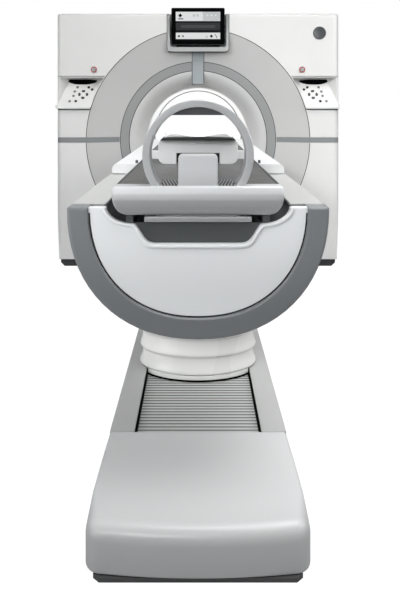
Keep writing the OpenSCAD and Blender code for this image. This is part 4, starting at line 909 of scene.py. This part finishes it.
pad = new_grid("head_cushion", 40, 24, size=1)
pad.scale = (2 * PAD_HALF, PAD_Y1 - PAD_Y0, 1)
pad.location = (0, (PAD_Y0 + PAD_Y1) / 2, PAD_Z)
bpy.ops.object.transform_apply(location=True, rotation=False, scale=True)
draw_out((0, 0, PAD_THICK))
for vertex in pad.data.vertices:
    if vertex.co.z > PAD_Z + PAD_THICK / 2:
        across = abs(vertex.co.x)
        if across < PAD_CREST:
            rise = PAD_RISE * math.sin(math.pi / 2 * across / PAD_CREST) ** 2
        else:
            rise = PAD_RISE * math.cos(math.pi / 2 * (across - PAD_CREST) / PAD_FALL)
        ends = min(1.0, (vertex.co.y - PAD_Y0) / END_LENGTH, (PAD_Y1 - vertex.co.y) / END_LENGTH)
        vertex.co.z += max(0.0, rise) * (END_RISE + (1 - END_RISE) * max(0.0, ends))
apply_modifier(pad, "REMESH", mode="VOXEL", voxel_size=VOXEL)
still = [vertex.co.copy() for vertex in pad.data.vertices]
cloth = pad.modifiers.new("cloth", "CLOTH")
cloth.settings.use_pressure = True
cloth.settings.uniform_pressure_force = PRESSURE
cloth.settings.effector_weights.gravity = 0
for number in range(1, PRESSURE_FRAMES + 1):
    scene.frame_set(number)
only(pad)
bpy.ops.object.modifier_apply(modifier=cloth.name)
scene.frame_set(1)
for vertex, rest in zip(pad.data.vertices, still):
    moved = vertex.co - rest
    if moved.length > SWELL_LIMIT:
        moved = moved.normalized() * SWELL_LIMIT
    vertex.co = rest + moved
    vertex.co.z = min(max(vertex.co.z, PAD_Z), PAD_TOP)
apply_modifier(pad, "SUBSURF", levels=1, render_levels=1)
dress(pad, pad_skin, "cradle", smooth=60)
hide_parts("head_pad")

# Floor, background and light: the camera sees a nearly white floor, lit from within by this share

FLOOR_GLOW_SHARE = 0.78
bpy.ops.mesh.primitive_plane_add(size=40, location=(0, 0, -0.001))
floor = started("studio_floor")
ground = bpy.data.materials.new("studio_floor")
ground.use_nodes = True
tree = ground.node_tree
tree.nodes.clear()
matt = add(tree, "ShaderNodeBsdfDiffuse", {"Color": (0.45, 0.45, 0.455, 1)})
glow = add(tree, "ShaderNodeEmission", {"Color": (1, 1, 1, 1), "Strength": 1.27})
path = add(tree, "ShaderNodeLightPath")
share = math_node(tree, "MULTIPLY", path.outputs["Is Camera Ray"], FLOOR_GLOW_SHARE)
mixed = add(tree, "ShaderNodeMixShader", {0: share, 1: matt.outputs[0], 2: glow.outputs[0]})
add(tree, "ShaderNodeOutputMaterial", {"Surface": mixed.outputs[0]})
floor.data.materials.append(ground)

world = bpy.data.worlds.new("studio")
scene.world = world
world.use_nodes = True
tree = world.node_tree
tree.nodes.clear()
path = add(tree, "ShaderNodeLightPath")
seen = math_node(tree, "MAXIMUM", path.outputs["Is Camera Ray"], path.outputs["Is Transmission Ray"])
ambient = add(tree, "ShaderNodeBackground", {"Color": (0.95, 0.97, 1.0, 1), "Strength": 0.17})
white = add(tree, "ShaderNodeBackground", {"Color": (1, 1, 1, 1), "Strength": 1.0})
mixed = add(tree, "ShaderNodeMixShader", {0: seen, 1: ambient.outputs[0], 2: white.outputs[0]})
add(tree, "ShaderNodeOutputWorld", {"Surface": mixed.outputs[0]})


def soft_box(name, place, aim, size, power, spread=180):
    """Area lamp that looks from its place to its aim, with its spread in degrees."""
    lamp = bpy.data.lights.new(name, "AREA")
    lamp.shape = "RECTANGLE"
    lamp.size, lamp.size_y = size
    lamp.energy = power
    lamp.spread = math.radians(spread)
    holder = bpy.data.objects.new(name, lamp)
    holder.location = place
    holder.rotation_euler = (Vector(aim) - Vector(place)).to_track_quat("-Z", "Y").to_euler()
    scene.collection.objects.link(holder)


soft_box("left_beam", (-5.5, -7.0, 5.0), (1.4, -0.5, 1.0), (1.5, 1.5), 14, spread=34)
soft_box("left_near", (-3.2, -3.2, 2.5), (-0.8, -0.5, 1.3), (1.2, 1.2), 25)
soft_box("right_near", (3.2, -3.2, 2.4), (0.9, -0.5, 1.2), (1.4, 1.4), 58)
soft_box("front_top", (-0.8, -6.6, 2.4), (0, -3.1, 0.55), (2.2, 0.5), 2.8, spread=30)
soft_box("overhead", (0.9, -3.2, 4.6), (0, -2.6, 0), (3.0, 3.0), 60, spread=100)
soft_box("behind_bore", (0, 2.6, 0.8), (0, 0, 1.0), (1.6, 1.6), 16)
soft_box("bellows_left", (-1.9, -4.3, 0.42), (0, -2.3, 0.40), (0.5, 0.2), 8)
